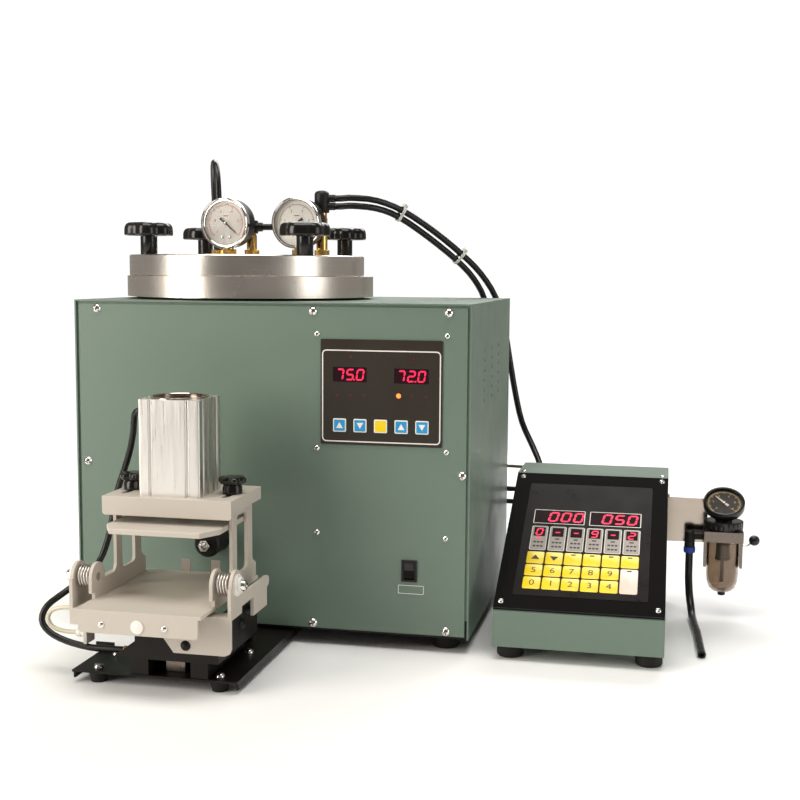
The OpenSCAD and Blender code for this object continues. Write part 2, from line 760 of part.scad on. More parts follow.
module wax_pot() {
    color("silver") placed() {
        difference() {
            union() {
                translate([pot_x, pot_y, 0]) rotate_extrude($fn = 96) polygon([
                    [0, pot_z0], [pot_r + pot_wall, pot_z0], [pot_r + pot_wall, mouth_z - cone_h],
                    [mouth_r + pot_wall, mouth_z], [mouth_r + pot_wall, flange_z0 + 1],
                    [mouth_r + pot_wall, flange_z1], [0, flange_z1]
                ]);
                translate([pot_x, pot_y, flange_z0])
                    cylinder(h = flange_t, r = flange_r, $fn = 96);
                rod_y(nozzle_x, nozzle_z, port_y, pot_y - pot_r, 14);
            }
            translate([pot_x, pot_y, 0]) rotate_extrude($fn = 96) polygon([
                [0, pot_z0 + 6], [pot_r, pot_z0 + 6], [pot_r, mouth_z - cone_h],
                [mouth_r, mouth_z], [mouth_r, flange_z1 + eps], [0, flange_z1 + eps]
            ]);
            translate([pot_x, pot_y, flange_z1 - seal_h]) difference() {
                cylinder(h = seal_h + eps, r = seal_r + seal_w / 2 + 0.2);
                translate([0, 0, -eps]) cylinder(h = seal_h + 3 * eps, r = seal_r - seal_w / 2 - 0.2);
            }
            for (k = [0 : 3]) at_stud(k) translate([0, 0, flange_z1 - stud_depth - 1])
                cylinder(h = stud_depth + 1 + eps, r = stud_r + run_fit);
            rod_y(nozzle_x, nozzle_z, port_y - eps, pot_y - pot_r + 10, 3);
        }
    }
}

module at_stud(k) {
    translate([pot_x, pot_y, 0]) rotate([0, 0, stud_angle + 90 * k]) translate([stud_circle_r, 0, 0])
        children();
}

module pot_seals() {
    color("#1a1a1a") placed() {
        translate([pot_x, pot_y, flange_z1 - seal_h]) difference() {
            cylinder(h = seal_h, r = seal_r + seal_w / 2);
            translate([0, 0, -eps]) cylinder(h = seal_h + 2 * eps, r = seal_r - seal_w / 2);
        }
        translate([pot_x, pot_y, cab_z1]) difference() {
            cylinder(h = gasket_t, r = flange_r - 10);
            translate([0, 0, -eps]) cylinder(h = gasket_t + 2 * eps, r = mouth_r + pot_wall + slip);
        }
    }
}

module heater_band() {
    band_r = pot_r + pot_wall;
    band_z0 = nozzle_z + band_rise;
    color("gray") placed() {
        translate([pot_x, pot_y, band_z0]) difference() {
            union() {
                cylinder(h = band_h, r = band_r + 4);
                translate([band_r, -12, 0]) cube([14, 24, band_h]);
            }
            translate([0, 0, -eps]) cylinder(h = band_h + 2 * eps, r = band_r);
            translate([band_r - 6, -1.5, -eps]) cube([30, 3, band_h + 2 * eps]);
        }
    }
}

module nozzle_housing() {
    color("#1c1c1e") placed() difference() {
        union() {
            rod_y(nozzle_x, nozzle_z, boss_front + 2, port_y, boss_r - 2);
            translate([nozzle_x, 0, nozzle_z]) rotate([90, 0, 0]) rotate_extrude() polygon([
                [0, -panel_y - 12], [boss_r, -panel_y - 12], [boss_r, boss_reach - 2],
                [boss_r - 2, boss_reach], [0, boss_reach]
            ]);
        }
        rod_y(nozzle_x, nozzle_z, boss_front - eps, boss_front + tip_bore, tip_shaft_r + run_fit);
        rod_y(nozzle_x, nozzle_z, boss_front + tip_bore - eps, port_y + eps, 2);
    }
}

module nozzle_tip() {
    hex_y1 = boss_front - tip_gap;
    hex_y0 = hex_y1 - tip_hex_h;
    color("gainsboro") placed() difference() {
        union() {
            rod_y(nozzle_x, nozzle_z, hex_y1, boss_front + tip_bore - tip_travel - slip, tip_shaft_r);
            translate([nozzle_x, hex_y1, nozzle_z]) rotate([90, 0, 0])
                cylinder(h = tip_hex_h, r = tip_hex_r, $fn = 6);
            translate([nozzle_x, hex_y0, nozzle_z]) rotate([90, 0, 0])
                cylinder(h = tip_cone_h, r1 = 4, r2 = 1.8);
        }
        rod_y(nozzle_x, nozzle_z, hex_y0 - tip_cone_h - eps, boss_front + tip_bore, orifice_r);
    }
}

// ---- Lid ----

module lid() {
    color("silver") placed() difference() {
        translate([pot_x - lid_shift, pot_y, 0]) rotate_extrude($fn = 96) polygon([
            [0, flange_z1], [lid_r - 0.8, flange_z1], [lid_r, flange_z1 + 0.8],
            [lid_r, lid_z1 - 1], [lid_r - 1, lid_z1], [0, lid_z1]
        ]);
        for (k = [0 : 3]) at_stud(k) translate([0, 0, flange_z1 - eps])
            cylinder(h = lid_t + 2 * eps, r = stud_r + run_fit);
        for (p = lid_ports) rod_z(p[0], p[1], flange_z1 - eps, lid_z1 + eps, 3);
    }
}
lid_ports = [
    [vacuum_x, gauge_stem_y], [pressure_x, gauge_stem_y], [link_x0, link_y], [link_x1, link_y],
    [double_x, link_y + 1], [vent_x, link_y]
];
module star_knob(head_r, head_h, lobes, lobe_r) {
    intersection() {
        union() {
            cylinder(h = head_h, r = head_r - lobe_r * 0.8);
            for (k = [0 : lobes - 1]) rotate([0, 0, 360 * k / lobes])
                translate([head_r - lobe_r, 0, 0]) cylinder(h = head_h, r = lobe_r);
        }
        rotate_extrude() polygon([
            [0, 0], [head_r - 1.2, 0], [head_r, head_h * 0.08], [head_r, head_h * 0.45],
            [head_r - 0.8, head_h * 0.68], [head_r - 2.6, head_h * 0.87], [head_r - 5.5, head_h], [0, head_h]
        ]);
    }
}

module lid_knob(k) {
    color("black") placed() at_stud(k) {
        translate([0, 0, flange_z1 - stud_depth]) cylinder(h = lid_t + stud_depth + 1, r = stud_r);
        translate([0, 0, lid_z1]) cylinder(h = knob_pillar_h + 1, r = knob_pillar_r);
        translate([0, 0, lid_z1 + knob_pillar_h]) star_knob(knob_r, knob_head_h, 6, 8.5);
    }
}

module lid_knob_1() {
    lid_knob(0);
}

module lid_knob_2() {
    lid_knob(1);
}

module lid_knob_3() {
    lid_knob(2);
}

module lid_knob_4() {
    lid_knob(3);
}

// Two ports, one over the other, of the tall fitting
double_ports = [double_z + double_gap / 2, double_z - double_gap / 2];

module hex_nut(x, y) {
    translate([x, y, lid_z1]) cylinder(h = nut_h, r = 8.5, $fn = 6);
}

module lid_fittings() {
    color("goldenrod") placed() {
        for (x = [vacuum_x, pressure_x]) hex_nut(x, gauge_stem_y);
        for (x = [link_x0, link_x1]) {
            hex_nut(x, link_y);
            rod_z(x, link_y, lid_z1 + nut_h - 1, link_z - 6, 5.5);
            rod_z(x, link_y, link_z - 7, link_z + 7, tee_r);
        }
        rod_x(link_y, link_z, link_x0, link_x0 + 12, 5);
        rod_x(link_y, link_z, link_x1 - 12, link_x1, 5);
        hex_nut(double_x, link_y + 1);
        rod_z(double_x, link_y + 1, lid_z1 + nut_h - 1, double_z - 10, 6);
        rod_z(double_x, link_y + 1, double_z - 11, double_z + 9, 8);
        for (z = double_ports) rod_x(link_y + 1, z, double_x, double_x + port_reach, 4.1);
        hex_nut(vent_x, link_y);
        rod_z(vent_x, link_y, lid_z1 + nut_h - 1, vent_z, 5);
    }
}

module lid_hoses() {
    link = [for (x = [link_x0 + 12, link_x1 - 12]) [x, link_y, link_z]];
    port_x = double_x + port_reach;
    case_y = controller_y1 + controller_port_y;
    panel_port_y = rear_y + rear_port_y;
    upper = concat([for (x = [0, 7]) [port_x + x, link_y + 1, double_ports[0]]], controller_hose_route,
        [for (z = [22, 10]) [controller_port_x, case_y, controller_port_z + z]]);
    lower = concat([for (x = [0, 7]) [port_x + x, link_y + 1, double_ports[1]]], cabinet_hose_route,
        [for (z = [20, 8]) [rear_port_x[1], panel_port_y, rear_port_z + z]]);
    vent = concat([for (z = [0, 12]) [vent_x, link_y, vent_z + z]], vent_hose_route,
        [for (z = [20, 8]) [rear_port_x[0], panel_port_y, rear_port_z + z]]);
    color("#18181a") placed() {
        tube(link, hose_r, 8, [1, 0, 0], [1, 0, 0]);
        tube(upper, hose_r, 8, [1, 0, 0], [0, 0, -1]);
        tube(lower, hose_r, 8, [1, 0, 0], [0, 0, -1]);
        tube(vent, hose_r, 8, [0, 0, 1], [0, 0, -1]);
    }
}

// ---- Gauges: drawn with the axis along +Z and the back of the case at z = 0 ----

module at_gauge(x) {
    translate([x, gauge_stem_y, gauge_z]) rotate([0, 0, -gauge_turn]) translate([0, gauge_depth / 2, 0])
        rotate([90, 0, 0]) children();
}

module gauge_body(x) {
    difference() {
        union() {
            at_gauge(x) rotate_extrude() polygon([
                [0, 0], [gauge_r - 3, 0], [gauge_r - 1.5, 1.5], [gauge_r - 1.5, 18], [gauge_r, 19],
                [gauge_r, gauge_depth - 1.2], [gauge_r - 1.2, gauge_depth], [0, gauge_depth]
            ]);
            rod_z(x, gauge_stem_y, lid_z1 + nut_h, gauge_z - gauge_r + 5, 5);
        }
        at_gauge(x) translate([0, 0, dial_w]) cylinder(h = 10, r = gauge_r - 3.5);
        at_gauge(x) translate([0, 0, glass_w]) cylinder(h = 10, r = gauge_r - 2.4);
        at_gauge(x) translate([0, 0, dial_w - 3]) cylinder(h = 5, r = needle_bore);
    }
}

module needle(length, tail) {
    translate([0, 0, 0.6]) {
        linear_extrude(0.6) polygon([
            [-tail, -1.3], [0, -0.9], [length, -0.2], [length, 0.2], [0, 0.9], [-tail, 1.3]
        ]);
        cylinder(h = 1.2, r = 2);
    }
    translate([0, 0, -2.5]) cylinder(h = 3.2, r = needle_bore - run_fit);
}

module vacuum_gauge() {
    color("gainsboro") placed() gauge_body(vacuum_x);
}

module pressure_gauge() {
    color("gainsboro") placed() gauge_body(pressure_x);
}

module gauge_glasses() {
    color("lightcyan", 0.4) placed() for (x = [vacuum_x, pressure_x])
        at_gauge(x) translate([0, 0, glass_w]) cylinder(h = glass_t, r = gauge_r - 2.5);
}

module vacuum_needle() {
    color("black") placed() at_gauge(vacuum_x) translate([0, 0, dial_w]) rotate([0, 0, vacuum_rest])
        needle(17, 8);
}

module pressure_needle() {
    color("black") placed() at_gauge(pressure_x) translate([0, 0, dial_w]) rotate([0, 0, pressure_rest])
        needle(17, 8);
}

// ---- Clamp base, slide and carriage ----

module clamp_base() {
    color("#1b1a1a") at_clamp() difference() {
        union() {
            box(base_left, base_right, base_y0, base_notch_y, base_z0, base_z1);
            box(base_inner, base_right, base_y0, base_y1, base_z0, base_z1);
            box(base_left, base_left + base_t, base_y0 + 3, base_notch_y, base_z1 - base_flange, base_z1);
            box(base_right - base_t, base_right, base_y0 + 3, base_y1, base_z1 - base_flange, base_z1);
            box(base_left - 6, base_left + 12, base_notch_y - base_t, base_notch_y, base_z0, base_z1 + 7);
            for (x = [0, 50]) rod_z(x, 35, base_z1 - 0.01, cab_z0, 9);
        }
        for (p = base_foot_spots) rod_z(p[0], p[1], base_z0 - eps, base_z1 + eps, m5_r + screw_clear);
    }
}

module guide_rods() {
    color("gainsboro") at_clamp() {
        for (x = [slide_x0, slide_x1]) {
            rod_y(x, slide_z, slide_y0, slide_y1, slide_r);
            for (y = [slide_y0, slide_y1 - block_l])
                box(x - block_half, x + block_half, y, y + block_l, base_z1, slide_z + 7);
        }
    }
}

module advance_cylinder() {
    color("silver") at_clamp() difference() {
        box(air_x - air_half, air_x + air_half, air_y0, air_y1, base_z1, base_z1 + 14);
        rod_y(air_x, slide_z - 1, air_y0 + 4, air_y1 + eps, air_rod_r + run_fit);
    }
}

module carriage() {
    gusset_y0 = frame_y + frame_t;
    gusset_y1 = gusset_y0 + 5;
    color("#151515") at_clamp() {
        difference() {
            union() {
                for (x = [slide_x0, slide_x1])
                    box(x - block_half, x + block_half, runner_y0, runner_y1, base_z1 + 1, runner_z1);
                box(slide_x0 - block_half, carriage_right, runner_y0, runner_y1, runner_z1 - 0.01, deck_z1);
                box(air_x - 8, air_x + 8, runner_y1 - 5, runner_y1, base_z1 + 1, runner_z1);
            }
            for (x = [slide_x0, slide_x1])
                rod_y(x, slide_z, runner_y0 - eps, runner_y1 + eps, slide_r + run_fit);
        }
        rod_y(air_x, slide_z - 1, air_y0 + 16, runner_y1 - 4, air_rod_r);
        front_plate(gusset_y0, 5) polygon([
            [-36, runner_z1], [-15, frame_z0 - 24], [-15, frame_z0], [carriage_right, frame_z0],
            [carriage_right, runner_z1]
        ]);
        box(-15, carriage_right, gusset_y1 - 0.01, runner_y0 + 6, runner_z1, deck_z1);
        box(carriage_right - 4, carriage_right, gusset_y1 - 0.01, runner_y1, deck_z1 - 0.01, frame_z0);
        for (p = side_bolt_spots) translate([carriage_right, p[0], p[1]]) rotate([0, 90, 0])
            dome_screw(6, 4, m5_r, 2);
        front_screw(33, frame_z0 - 24, frame_y, m5_head_r, m5_head_h, m5_r, frame_t + 2);
    }
}
side_bolt_spots = [[pivot_y + 45, frame_z0 - 20], [pivot_y + 60, frame_z0 - 10]];

module outer_ear() {
    difference() {
        union() {
            translate([pivot_y, pivot_z]) circle(r = ear_r);
            translate([frame_y, frame_z0]) square([2 * ear_r + 2, pivot_z - frame_z0]);
            translate([frame_y, arm_z0]) square([arm_y1 - frame_y - 5, arm_z1 - arm_z0]);
            translate([arm_y1 - 5.25, (arm_z0 + arm_z1) / 2]) circle(r = (arm_z1 - arm_z0) / 2);
        }
        translate([pivot_y, pivot_z]) circle(r = pin_r + run_fit);
    }
}

module lower_frame() {
    color("#c9bba8") at_clamp() {
        difference() {
            union() {
                front_plate(frame_y, frame_t) polygon([
                    [-ear_out, frame_z0 - 12], [8, frame_z0 - 12], [22, frame_z0 - 31],
                    [ear_out - 6, frame_z0 - 31], [ear_out - 1.8, frame_z0 - 29.2], [ear_out, frame_z0 - 25],
                    [ear_out, frame_z1], [-ear_out, frame_z1]
                ]);
                box(-ear_out, ear_out, frame_y, frame_y + 16, frame_z0, frame_z1);
                side_plate(-ear_out, plate_t) outer_ear();
                side_plate(ear_in, plate_t) outer_ear();
                side_plate(ear_in, plate_t) translate([arm_y1 - 44, frame_z0 - 11])
                    square([38, arm_z0 - frame_z0 + 12]);
                side_plate(-ear_out, plate_t) translate([-140, drain_z[1] - 8])
                    square([16, arm_z0 - drain_z[1] + 9]);
            }
            rod_y(33, frame_z0 - 24, frame_y - eps, frame_y + frame_t + eps, m5_r + screw_clear);
        }
    }
}

module pivot_bolts() {
    color("silver") at_clamp() for (s = [-1, 1]) {
        a = s < 0 ? -ear_out - 1.5 : head_half - plate_t;
        b = s < 0 ? -head_half + plate_t : ear_out + 1.5;
        rod_x(pivot_y, pivot_z, a, b, pin_r);
        at_bolt(s) {
            difference() {
                cylinder(h = 1.5, r = 9);
                translate([0, 0, -eps]) cylinder(h = 4, r = pin_r);
            }
            translate([0, 0, 1.5]) cylinder(h = 4, r = 8);
            translate([0, 0, 5.5]) dome_screw(4.6, 4, 2, 1);
        }
    }
}

module at_bolt(s) {
    translate([s * ear_out, pivot_y, pivot_z]) rotate([0, s * 90, 0]) children();
}

// One spring: a helix about the pivot whose ends run straight along the pivot for one wire
function spring_points() = concat(
    [[0, spring_r, 0]],
    [for (i = [0 : 8 * turns]) let (a = 45 * i)
        [wire_d + i * spring_pitch / 8, spring_r * cos(a), spring_r * sin(a)]],
    [[spring_len, spring_r, 0]]
);
curl_steps = [for (i = [1 : 8 * turns - 7]) norm(spring_points()[i] - spring_points()[i + 8])];
spring_gap = min(curl_steps) - wire_d;
echo("least gap between the curls of a pivot spring, mm", spring_gap);

module pivot_springs() {
    color("gainsboro") at_clamp() for (x = [-ear_in, head_half])
        translate([x, pivot_y, pivot_z]) tube(spring_points(), wire_r, 6, [1, 0, 0], [1, 0, 0]);
}

module clamp_hoses() {
    port_x = -cylinder_w / 2 - 8;
    nipple_x = -ear_out - 10;
    press = concat([for (x = [0, 4]) [port_x - x, cyl_cy, cyl_z1 - 14]], press_hose_route,
        [for (x = [-48, -37]) [x, -136, hose_in]]);
    drain = concat([[nipple_x, -132, drain_z[0]]], drain_hose_route, [[nipple_x, -132, drain_z[1]]]);
    color("#18181a") at_clamp() {
        tube(press, 3, 8, [-1, 0, 0], [1, 0, 0]);
        tube(drain, 2, 8, [-1, 0, 0], [1, 0, 0]);
        for (z = drain_z) rod_x(-132, z, nipple_x, -ear_out, 4);
        rod_x(-136, hose_in, -37, slide_x0 - block_half, 4);
    }
}

// ---- Clamp head ----

module side_outline() {
    difference() {
        union() {
            translate([pivot_y, pivot_z]) circle(r = ear_r);
            translate([pivot_y - ear_r, table_z - plate_t])
                square([2 * ear_r, pivot_z - table_z + plate_t]);
            translate([pivot_y, table_z - plate_t]) square([head_back - 6, window_z0 - table_z + plate_t]);
            translate([leg_y0, table_z]) square([leg_y1 - leg_y0, tray_z - tray_t - table_z]);
            translate([leg_y0 - 8, table_z]) square([leg_y1 - leg_y0 + 14, window_z0 - table_z + 8]);
        }
        round_rect(leg_y0 + leg_front_w, leg_y1 - leg_back_w, window_z0, window_z1, 5);
        translate([leg_y0 - 8, window_z0 + 8]) circle(r = 8);
        translate([leg_y1 + 6, window_z0 + 8]) circle(r = 6);
        translate([pivot_y, pivot_z]) circle(r = pin_r + run_fit);
        translate([pivot_y - ear_r - eps, table_z]) square([6 + eps, 6]);
    }
}

module clamp_frame() {
    color("#c9bba8") at_clamp() difference() {
        union() {
            box(-head_half, head_half, head_y0, head_y1, table_z - plate_t, table_z);
            front_plate(head_y0, plate_t)
                round_rect(-head_half + 3, head_half - 3, table_z - 20, table_z, 3);
            for (x = [-head_half, head_half - plate_t]) side_plate(x, plate_t) side_outline();
            for (s = [-1, 1]) box(s * tab_x - tab_w / 2, s * tab_x + tab_w / 2, head_y1 - plate_t / 2,
                head_y1, table_z - plate_t, table_z + tab_h);
            for (s = [-1, 1]) box(s > 0 ? head_half - flange_in : -head_half,
                s > 0 ? head_half : -head_half + flange_in, leg_y0 + 2, leg_y1 - 2,
                tray_z - tray_t - plate_t, tray_z - tray_t);
            for (x = [-33, 24]) front_screw(x, table_z - 12.5, head_y0, 3.2, 1.8, m3_r, plate_t);
            rod_y(0, table_z - 12.5, head_y0 - 1, head_y0 + 0.01, 5.5);
        }
        for (s = [-1, 1]) rod_z(s * tray_knob_x, tray_knob_y, tray_z - 12, tray_z, tray_screw_r + run_fit);
    }
}

module top_tray() {
    tray_half = tray_w / 2;
    color("#c9bba8") at_clamp() difference() {
        union() {
            box(-tray_half, tray_half, tray_y0, tray_y1, tray_z - tray_t, tray_z);
            front_plate(tray_y0, tray_t)
                round_rect(-tray_half, tray_half, tray_z - tray_flange, tray_z, 3);
            for (x = [-tray_half, tray_half - tray_t]) side_plate(x, tray_t)
                round_rect(tray_y0, tray_y1, tray_z - 12, tray_z, 2);
        }
        rod_z(0, cyl_cy, tray_z - tray_t - eps, tray_z + eps, rod_r + 2);
        for (s = [-1, 1]) translate([0, 0, tray_z - tray_t - eps]) linear_extrude(tray_t + 2 * eps)
            round_rect(s * tray_knob_x - tray_screw_r - slip, s * tray_knob_x + tray_screw_r + slip,
                tray_knob_y - tray_screw_r - slip - tray_adjust - 12,
                tray_knob_y + tray_screw_r + slip + tray_adjust, tray_screw_r);
    }
}

module cylinder_outline() {
    half_w = cylinder_w / 2;
    half_d = cylinder_d / 2;
    difference() {
        round_rect(-half_w, half_w, -half_d, half_d, 2);
        for (s = [-1, 1], t = [-1, 1]) {
            translate([t * half_w * 0.6, s * half_d]) circle(r = 2.2, $fn = 24);
            translate([s * half_w, t * half_d * 0.62]) circle(r = 2.2, $fn = 24);
            translate([s * half_w, t * half_d * 0.25]) square([6, 5], center = true);
        }
        circle(r = piston_r + run_fit);
    }
}

module press_cylinder() {
    color("gainsboro") at_clamp() translate([0, cyl_cy, 0]) {
        difference() {
            translate([0, 0, tray_z]) linear_extrude(cylinder_h) cylinder_outline();
            translate([0, 0, bore_z1 + 9]) cylinder(h = 10, r = mouth_ring_r);
        }
        difference() {
            translate([0, 0, tray_z]) cylinder(h = bore_z0 - tray_z, r = piston_r + run_fit);
            translate([0, 0, tray_z - eps]) cylinder(h = 20, r = rod_r + run_fit);
        }
        translate([0, 0, bore_z1]) cylinder(h = 9, r = piston_r + run_fit);
        rod_x(0, cyl_z1 - 14, -cylinder_w / 2 - 8, -cylinder_w / 2 + 1, 4.5);
    }
}

module press_rod() {
    color("gainsboro") at_clamp() translate([0, cyl_cy, 0]) {
        translate([0, 0, press_top]) cylinder(h = piston_z - press_top + 1, r = rod_r);
        translate([0, 0, piston_z]) cylinder(h = piston_h, r = piston_r);
    }
}

module press_plate() {
    cut = press_half - press_corner_x;
    color("#bfb09c") at_clamp() translate([0, 0, press_top - press_t]) linear_extrude(press_t) polygon([
        [-cut, press_y0], [cut, press_y0], [press_half, press_y0 + press_corner_y], [press_half, press_y1],
        [-press_half, press_y1], [-press_half, press_y0 + press_corner_y]
    ]);
}

module tray_knob(s) {
    color("black") at_clamp() translate([s * tray_knob_x, tray_knob_y, tray_z]) {
        cylinder(h = tray_hub_h + 0.5, r = tray_hub_r);
        translate([0, 0, tray_hub_h]) star_knob(tray_knob_r, tray_head_h, 6, 4.5);
        translate([0, 0, -8]) cylinder(h = 9, r = tray_screw_r);
    }
}

module tray_knob_left() {
    tray_knob(-1);
}

module tray_knob_right() {
    tray_knob(1);
}

// ---- Clamp controller ----

// Places children on the sloped panel: s along X, u up the slope, w above its face
module on_slope(s, u, w) {
    translate([controller_x, slope_y0, slope_z0]) rotate([slope_a, 0, 0]) translate([s, u, w]) children();
}
panel_spots = [for (s = [6.5, controller_w - 6.5], u = [9, slope_l - 6.5]) [s, u]];
flat_spots = [controller_x + 6, controller_x + controller_w - 6];

function case_outline(d) = [
    [slope_y0 + d, controller_z + d],
    [slope_y0 + d, slope_z0 - acrylic_dz - d * 0.6],
    [slope_y1 + d * 0.3, slope_z1 - acrylic_dz - d * 0.95],
    [slope_y1 + d * 0.3, slope_z1 - d],
    [controller_y1 - d, slope_z1 - d],
    [controller_y1 - d, controller_z + d]
];

module controller_case() {
    x1 = controller_x + controller_w;
    color("darkseagreen") placed() difference() {
        side_plate(controller_x, controller_w) polygon(case_outline(0));
        side_plate(controller_x + sheet, controller_w - 2 * sheet) polygon(case_outline(sheet));
        on_slope(case_ledge, case_ledge + 6, -20)
            cube([controller_w - 2 * case_ledge, slope_l - 2 * case_ledge - 6, 40]);
        for (p = panel_spots) on_slope(p[0], p[1], -12) cylinder(h = 14, r = m3_r + screw_clear);
        for (x = flat_spots) rod_z(x, slope_y1 + 8, slope_z1 - 5, slope_z1 + eps, m3_r + screw_clear);
        for (z = bracket_spots) rod_x(bracket_flange_y, z, x1 - 5, x1 + eps, m3_r + screw_clear);
        rod_y(controller_port_x, controller_port_z, controller_y1 - 5, controller_y1 + eps, 5);
        for (p = cable_y) rod_y(cable_x1, p[1], controller_y1 - 5, controller_y1 + eps, 4);
    }
}

module controller_panel() {
    color("#121214") placed() {
        difference() {
            side_plate(controller_x, controller_w) polygon([
                [slope_y0, slope_z0 - acrylic_dz], [slope_y0, slope_z0],
                [slope_y1, slope_z1], [slope_y1, slope_z1 - acrylic_dz]
            ]);
            for (p = panel_spots) on_slope(p[0], p[1], -acrylic_t - 1)
                cylinder(h = acrylic_t + 2, r = m3_r + screw_clear);
        }
        on_slope(keypad_x, keypad_s, -0.01) cube([keypad_w, keypad_l, keypad_t + 0.01]);
    }
}

// A fitting that leaves a wall along +Y and turns up
module rear_elbow(x, y, z, reach, up) {
    rod_y(x, z, y - sheet - 1, y + reach, 4.6);
    rod_y(x, z, y, y + 2, 7);
    rod_z(x, y + reach, z - 5, z + up, 5.5);
}

module cables_and_fittings() {
    color("#18181a") placed() {
        rear_elbow(rear_port_x[0], rear_y, rear_port_z, rear_port_y, 8);
        rear_elbow(rear_port_x[1], rear_y, rear_port_z, rear_port_y, 8);
        rear_elbow(controller_port_x, controller_y1, controller_port_z, controller_port_y, 10);
        for (i = [0 : 2]) {
            y = cable_y[i][0];
            z = cable_y[i][1];
            tube([
                [cable_x0, rear_y - 1, z], [cable_x0 + 5, y - 8, z], [cable_x0 + 20, y, z],
                [cable_x1 - 34, y - 3, z], [cable_x1 - 10, y - 16, z], [cable_x1, controller_y1 - 1, z]
            ], i < 2 ? 3 : 1.8, 8, [0, 1, 0], [0, -1, 0]);
            rod_y(cable_x0, z, rear_y - sheet, rear_y + 0.5, 4);
            rod_y(cable_x0, z, rear_y, rear_y + 2, 5.5);
            rod_y(cable_x1, z, controller_y1 - sheet, controller_y1 + 0.5, 4);
            rod_y(cable_x1, z, controller_y1, controller_y1 + 2, 5.5);
        }
        rod_x(reg_y, elbow_z, elbow_x, reg_x0, 4.5);
        rod_z(elbow_x, reg_y, ring_z0 + 6, elbow_z + 5.5, 5.5);
        rod_z(elbow_x, reg_y, ring_z0, ring_z0 + 6, 6.2);
    }
}

// ---- Filter regulator ----

bracket_flange_y = reg_y1 + bracket_t + 10;
bracket_spots = [bracket_z0 + 8, bracket_z1 - 8];
block_spots = [reg_x - 10, reg_x + 10];

module regulator_bracket() {
    wall = controller_x + controller_w;
    color("darkgray") placed() difference() {
        union() {
            box(wall, wall + bracket_t, reg_y1, reg_y1 + 20, bracket_z0, bracket_z1);
            box(wall, reg_x0 + 4, reg_y1, reg_y1 + bracket_t, bracket_z0, bracket_z1);
            box(reg_x0, reg_x + 16, reg_y1, reg_y1 + bracket_t, bowl_z1, regulator_z);
        }
        for (z = bracket_spots) rod_x(bracket_flange_y, z, wall - eps, wall + 5, m3_r + screw_clear);
        for (x = block_spots) rod_y(x, regulator_z - 5.5, reg_y1 - eps, reg_y1 + 5, m3_r + screw_clear);
    }
}

module regulator_body() {
    x1 = reg_x0 + regulator_side;
    color("dimgray") placed() difference() {
        union() {
            box(reg_x0, x1, reg_y - regulator_side / 2, reg_y1, bowl_z1, regulator_z);
            for (x = [reg_x0, x1 - guard_t])
                box(x, x + guard_t, reg_y - 9, reg_y + 9, guard_z0, bowl_z1 + 0.01);
            rod_z(reg_x, reg_y, regulator_z - 0.01, regulator_z + 1, 14);
            rod_z(reg_x, reg_y, regulator_z, regulator_z + reg_knob_h + 0.4, 6);
        }
        for (x = block_spots) rod_y(x, regulator_z - 5.5, reg_y1 - 6, reg_y1 + eps, m3_r + screw_clear);
        rod_x(reg_y, lever_z, x1 - guard_t - eps, x1 + eps, lever_r + run_fit);
    }
}

module regulator_knob() {
    color("black") placed() difference() {
        translate([reg_x, reg_y, regulator_z + 1]) cylinder(h = reg_knob_h - 1, r = dial_r - 1);
        rod_z(reg_x, reg_y, regulator_z, regulator_z + 30, 6 + run_fit);
        for (k = [0 : 23]) translate([reg_x, reg_y, regulator_z]) rotate([0, 0, 15 * k])
            translate([dial_r - 1, 0, 2.5]) cylinder(h = reg_knob_h, r = 0.9, $fn = 16);
    }
}

module at_dial() {
    translate([reg_x, reg_y, dial_z]) rotate([dial_tilt, 0, 0]) translate([0, 0, -dial_t]) children();
}

module regulator_gauge() {
    color("#1c1c1e") placed() difference() {
        union() {
            at_dial() rotate_extrude() polygon([
                [0, 0], [dial_r - 1.5, 0], [dial_r, 1.5], [dial_r, dial_t - 0.8],
                [dial_r - 0.8, dial_t], [0, dial_t]
            ]);
            rod_z(reg_x, reg_y, regulator_z + reg_knob_h + 0.4, dial_z - dial_t + 2, 9);
        }
        at_dial() translate([0, 0, dial_t - 4]) cylinder(h = 10, r = dial_r - 2.6);
        at_dial() translate([0, 0, dial_t - 6.5]) cylinder(h = 5, r = needle_bore);
    }
}

module regulator_needle() {
    color("white") placed() at_dial() translate([0, 0, dial_t - 4]) rotate([0, 0, regulator_rest])
        needle(13, 6);
}

module filter_bowl() {
    color("gray", 0.5) placed() translate([reg_x, reg_y, 0]) difference() {
        union() {
            rotate_extrude() polygon([
                [0, bowl_z], [6, bowl_z], [11, bowl_z + 2], [bowl_r - 2.5, bowl_z + 6],
                [bowl_r - 0.6, bowl_z + 12], [bowl_r, bowl_z + 20], [bowl_r, bowl_z1], [0, bowl_z1]
            ]);
            translate([0, 0, bowl_z - 4]) cylinder(h = 5, r = 4);
        }
        rotate_extrude() polygon([
            [0, bowl_z + 2], [6, bowl_z + 2], [10, bowl_z + 4], [bowl_r - 4.5, bowl_z + 8],
            [bowl_r - 2.6, bowl_z + 13], [bowl_r - bowl_wall, bowl_z + 20],
            [bowl_r - bowl_wall, bowl_z1 + eps], [0, bowl_z1 + eps]
        ]);
    }
}

module filter_element() {
    color("wheat") placed() {
        rod_z(reg_x, reg_y, bowl_z1 - 18, bowl_z1, 7);
        rod_z(reg_x, reg_y, bowl_z + 10, bowl_z1 - 18, 2);
        rod_z(reg_x, reg_y, bowl_z1 - 22, bowl_z1 - 18, 8);
    }
}

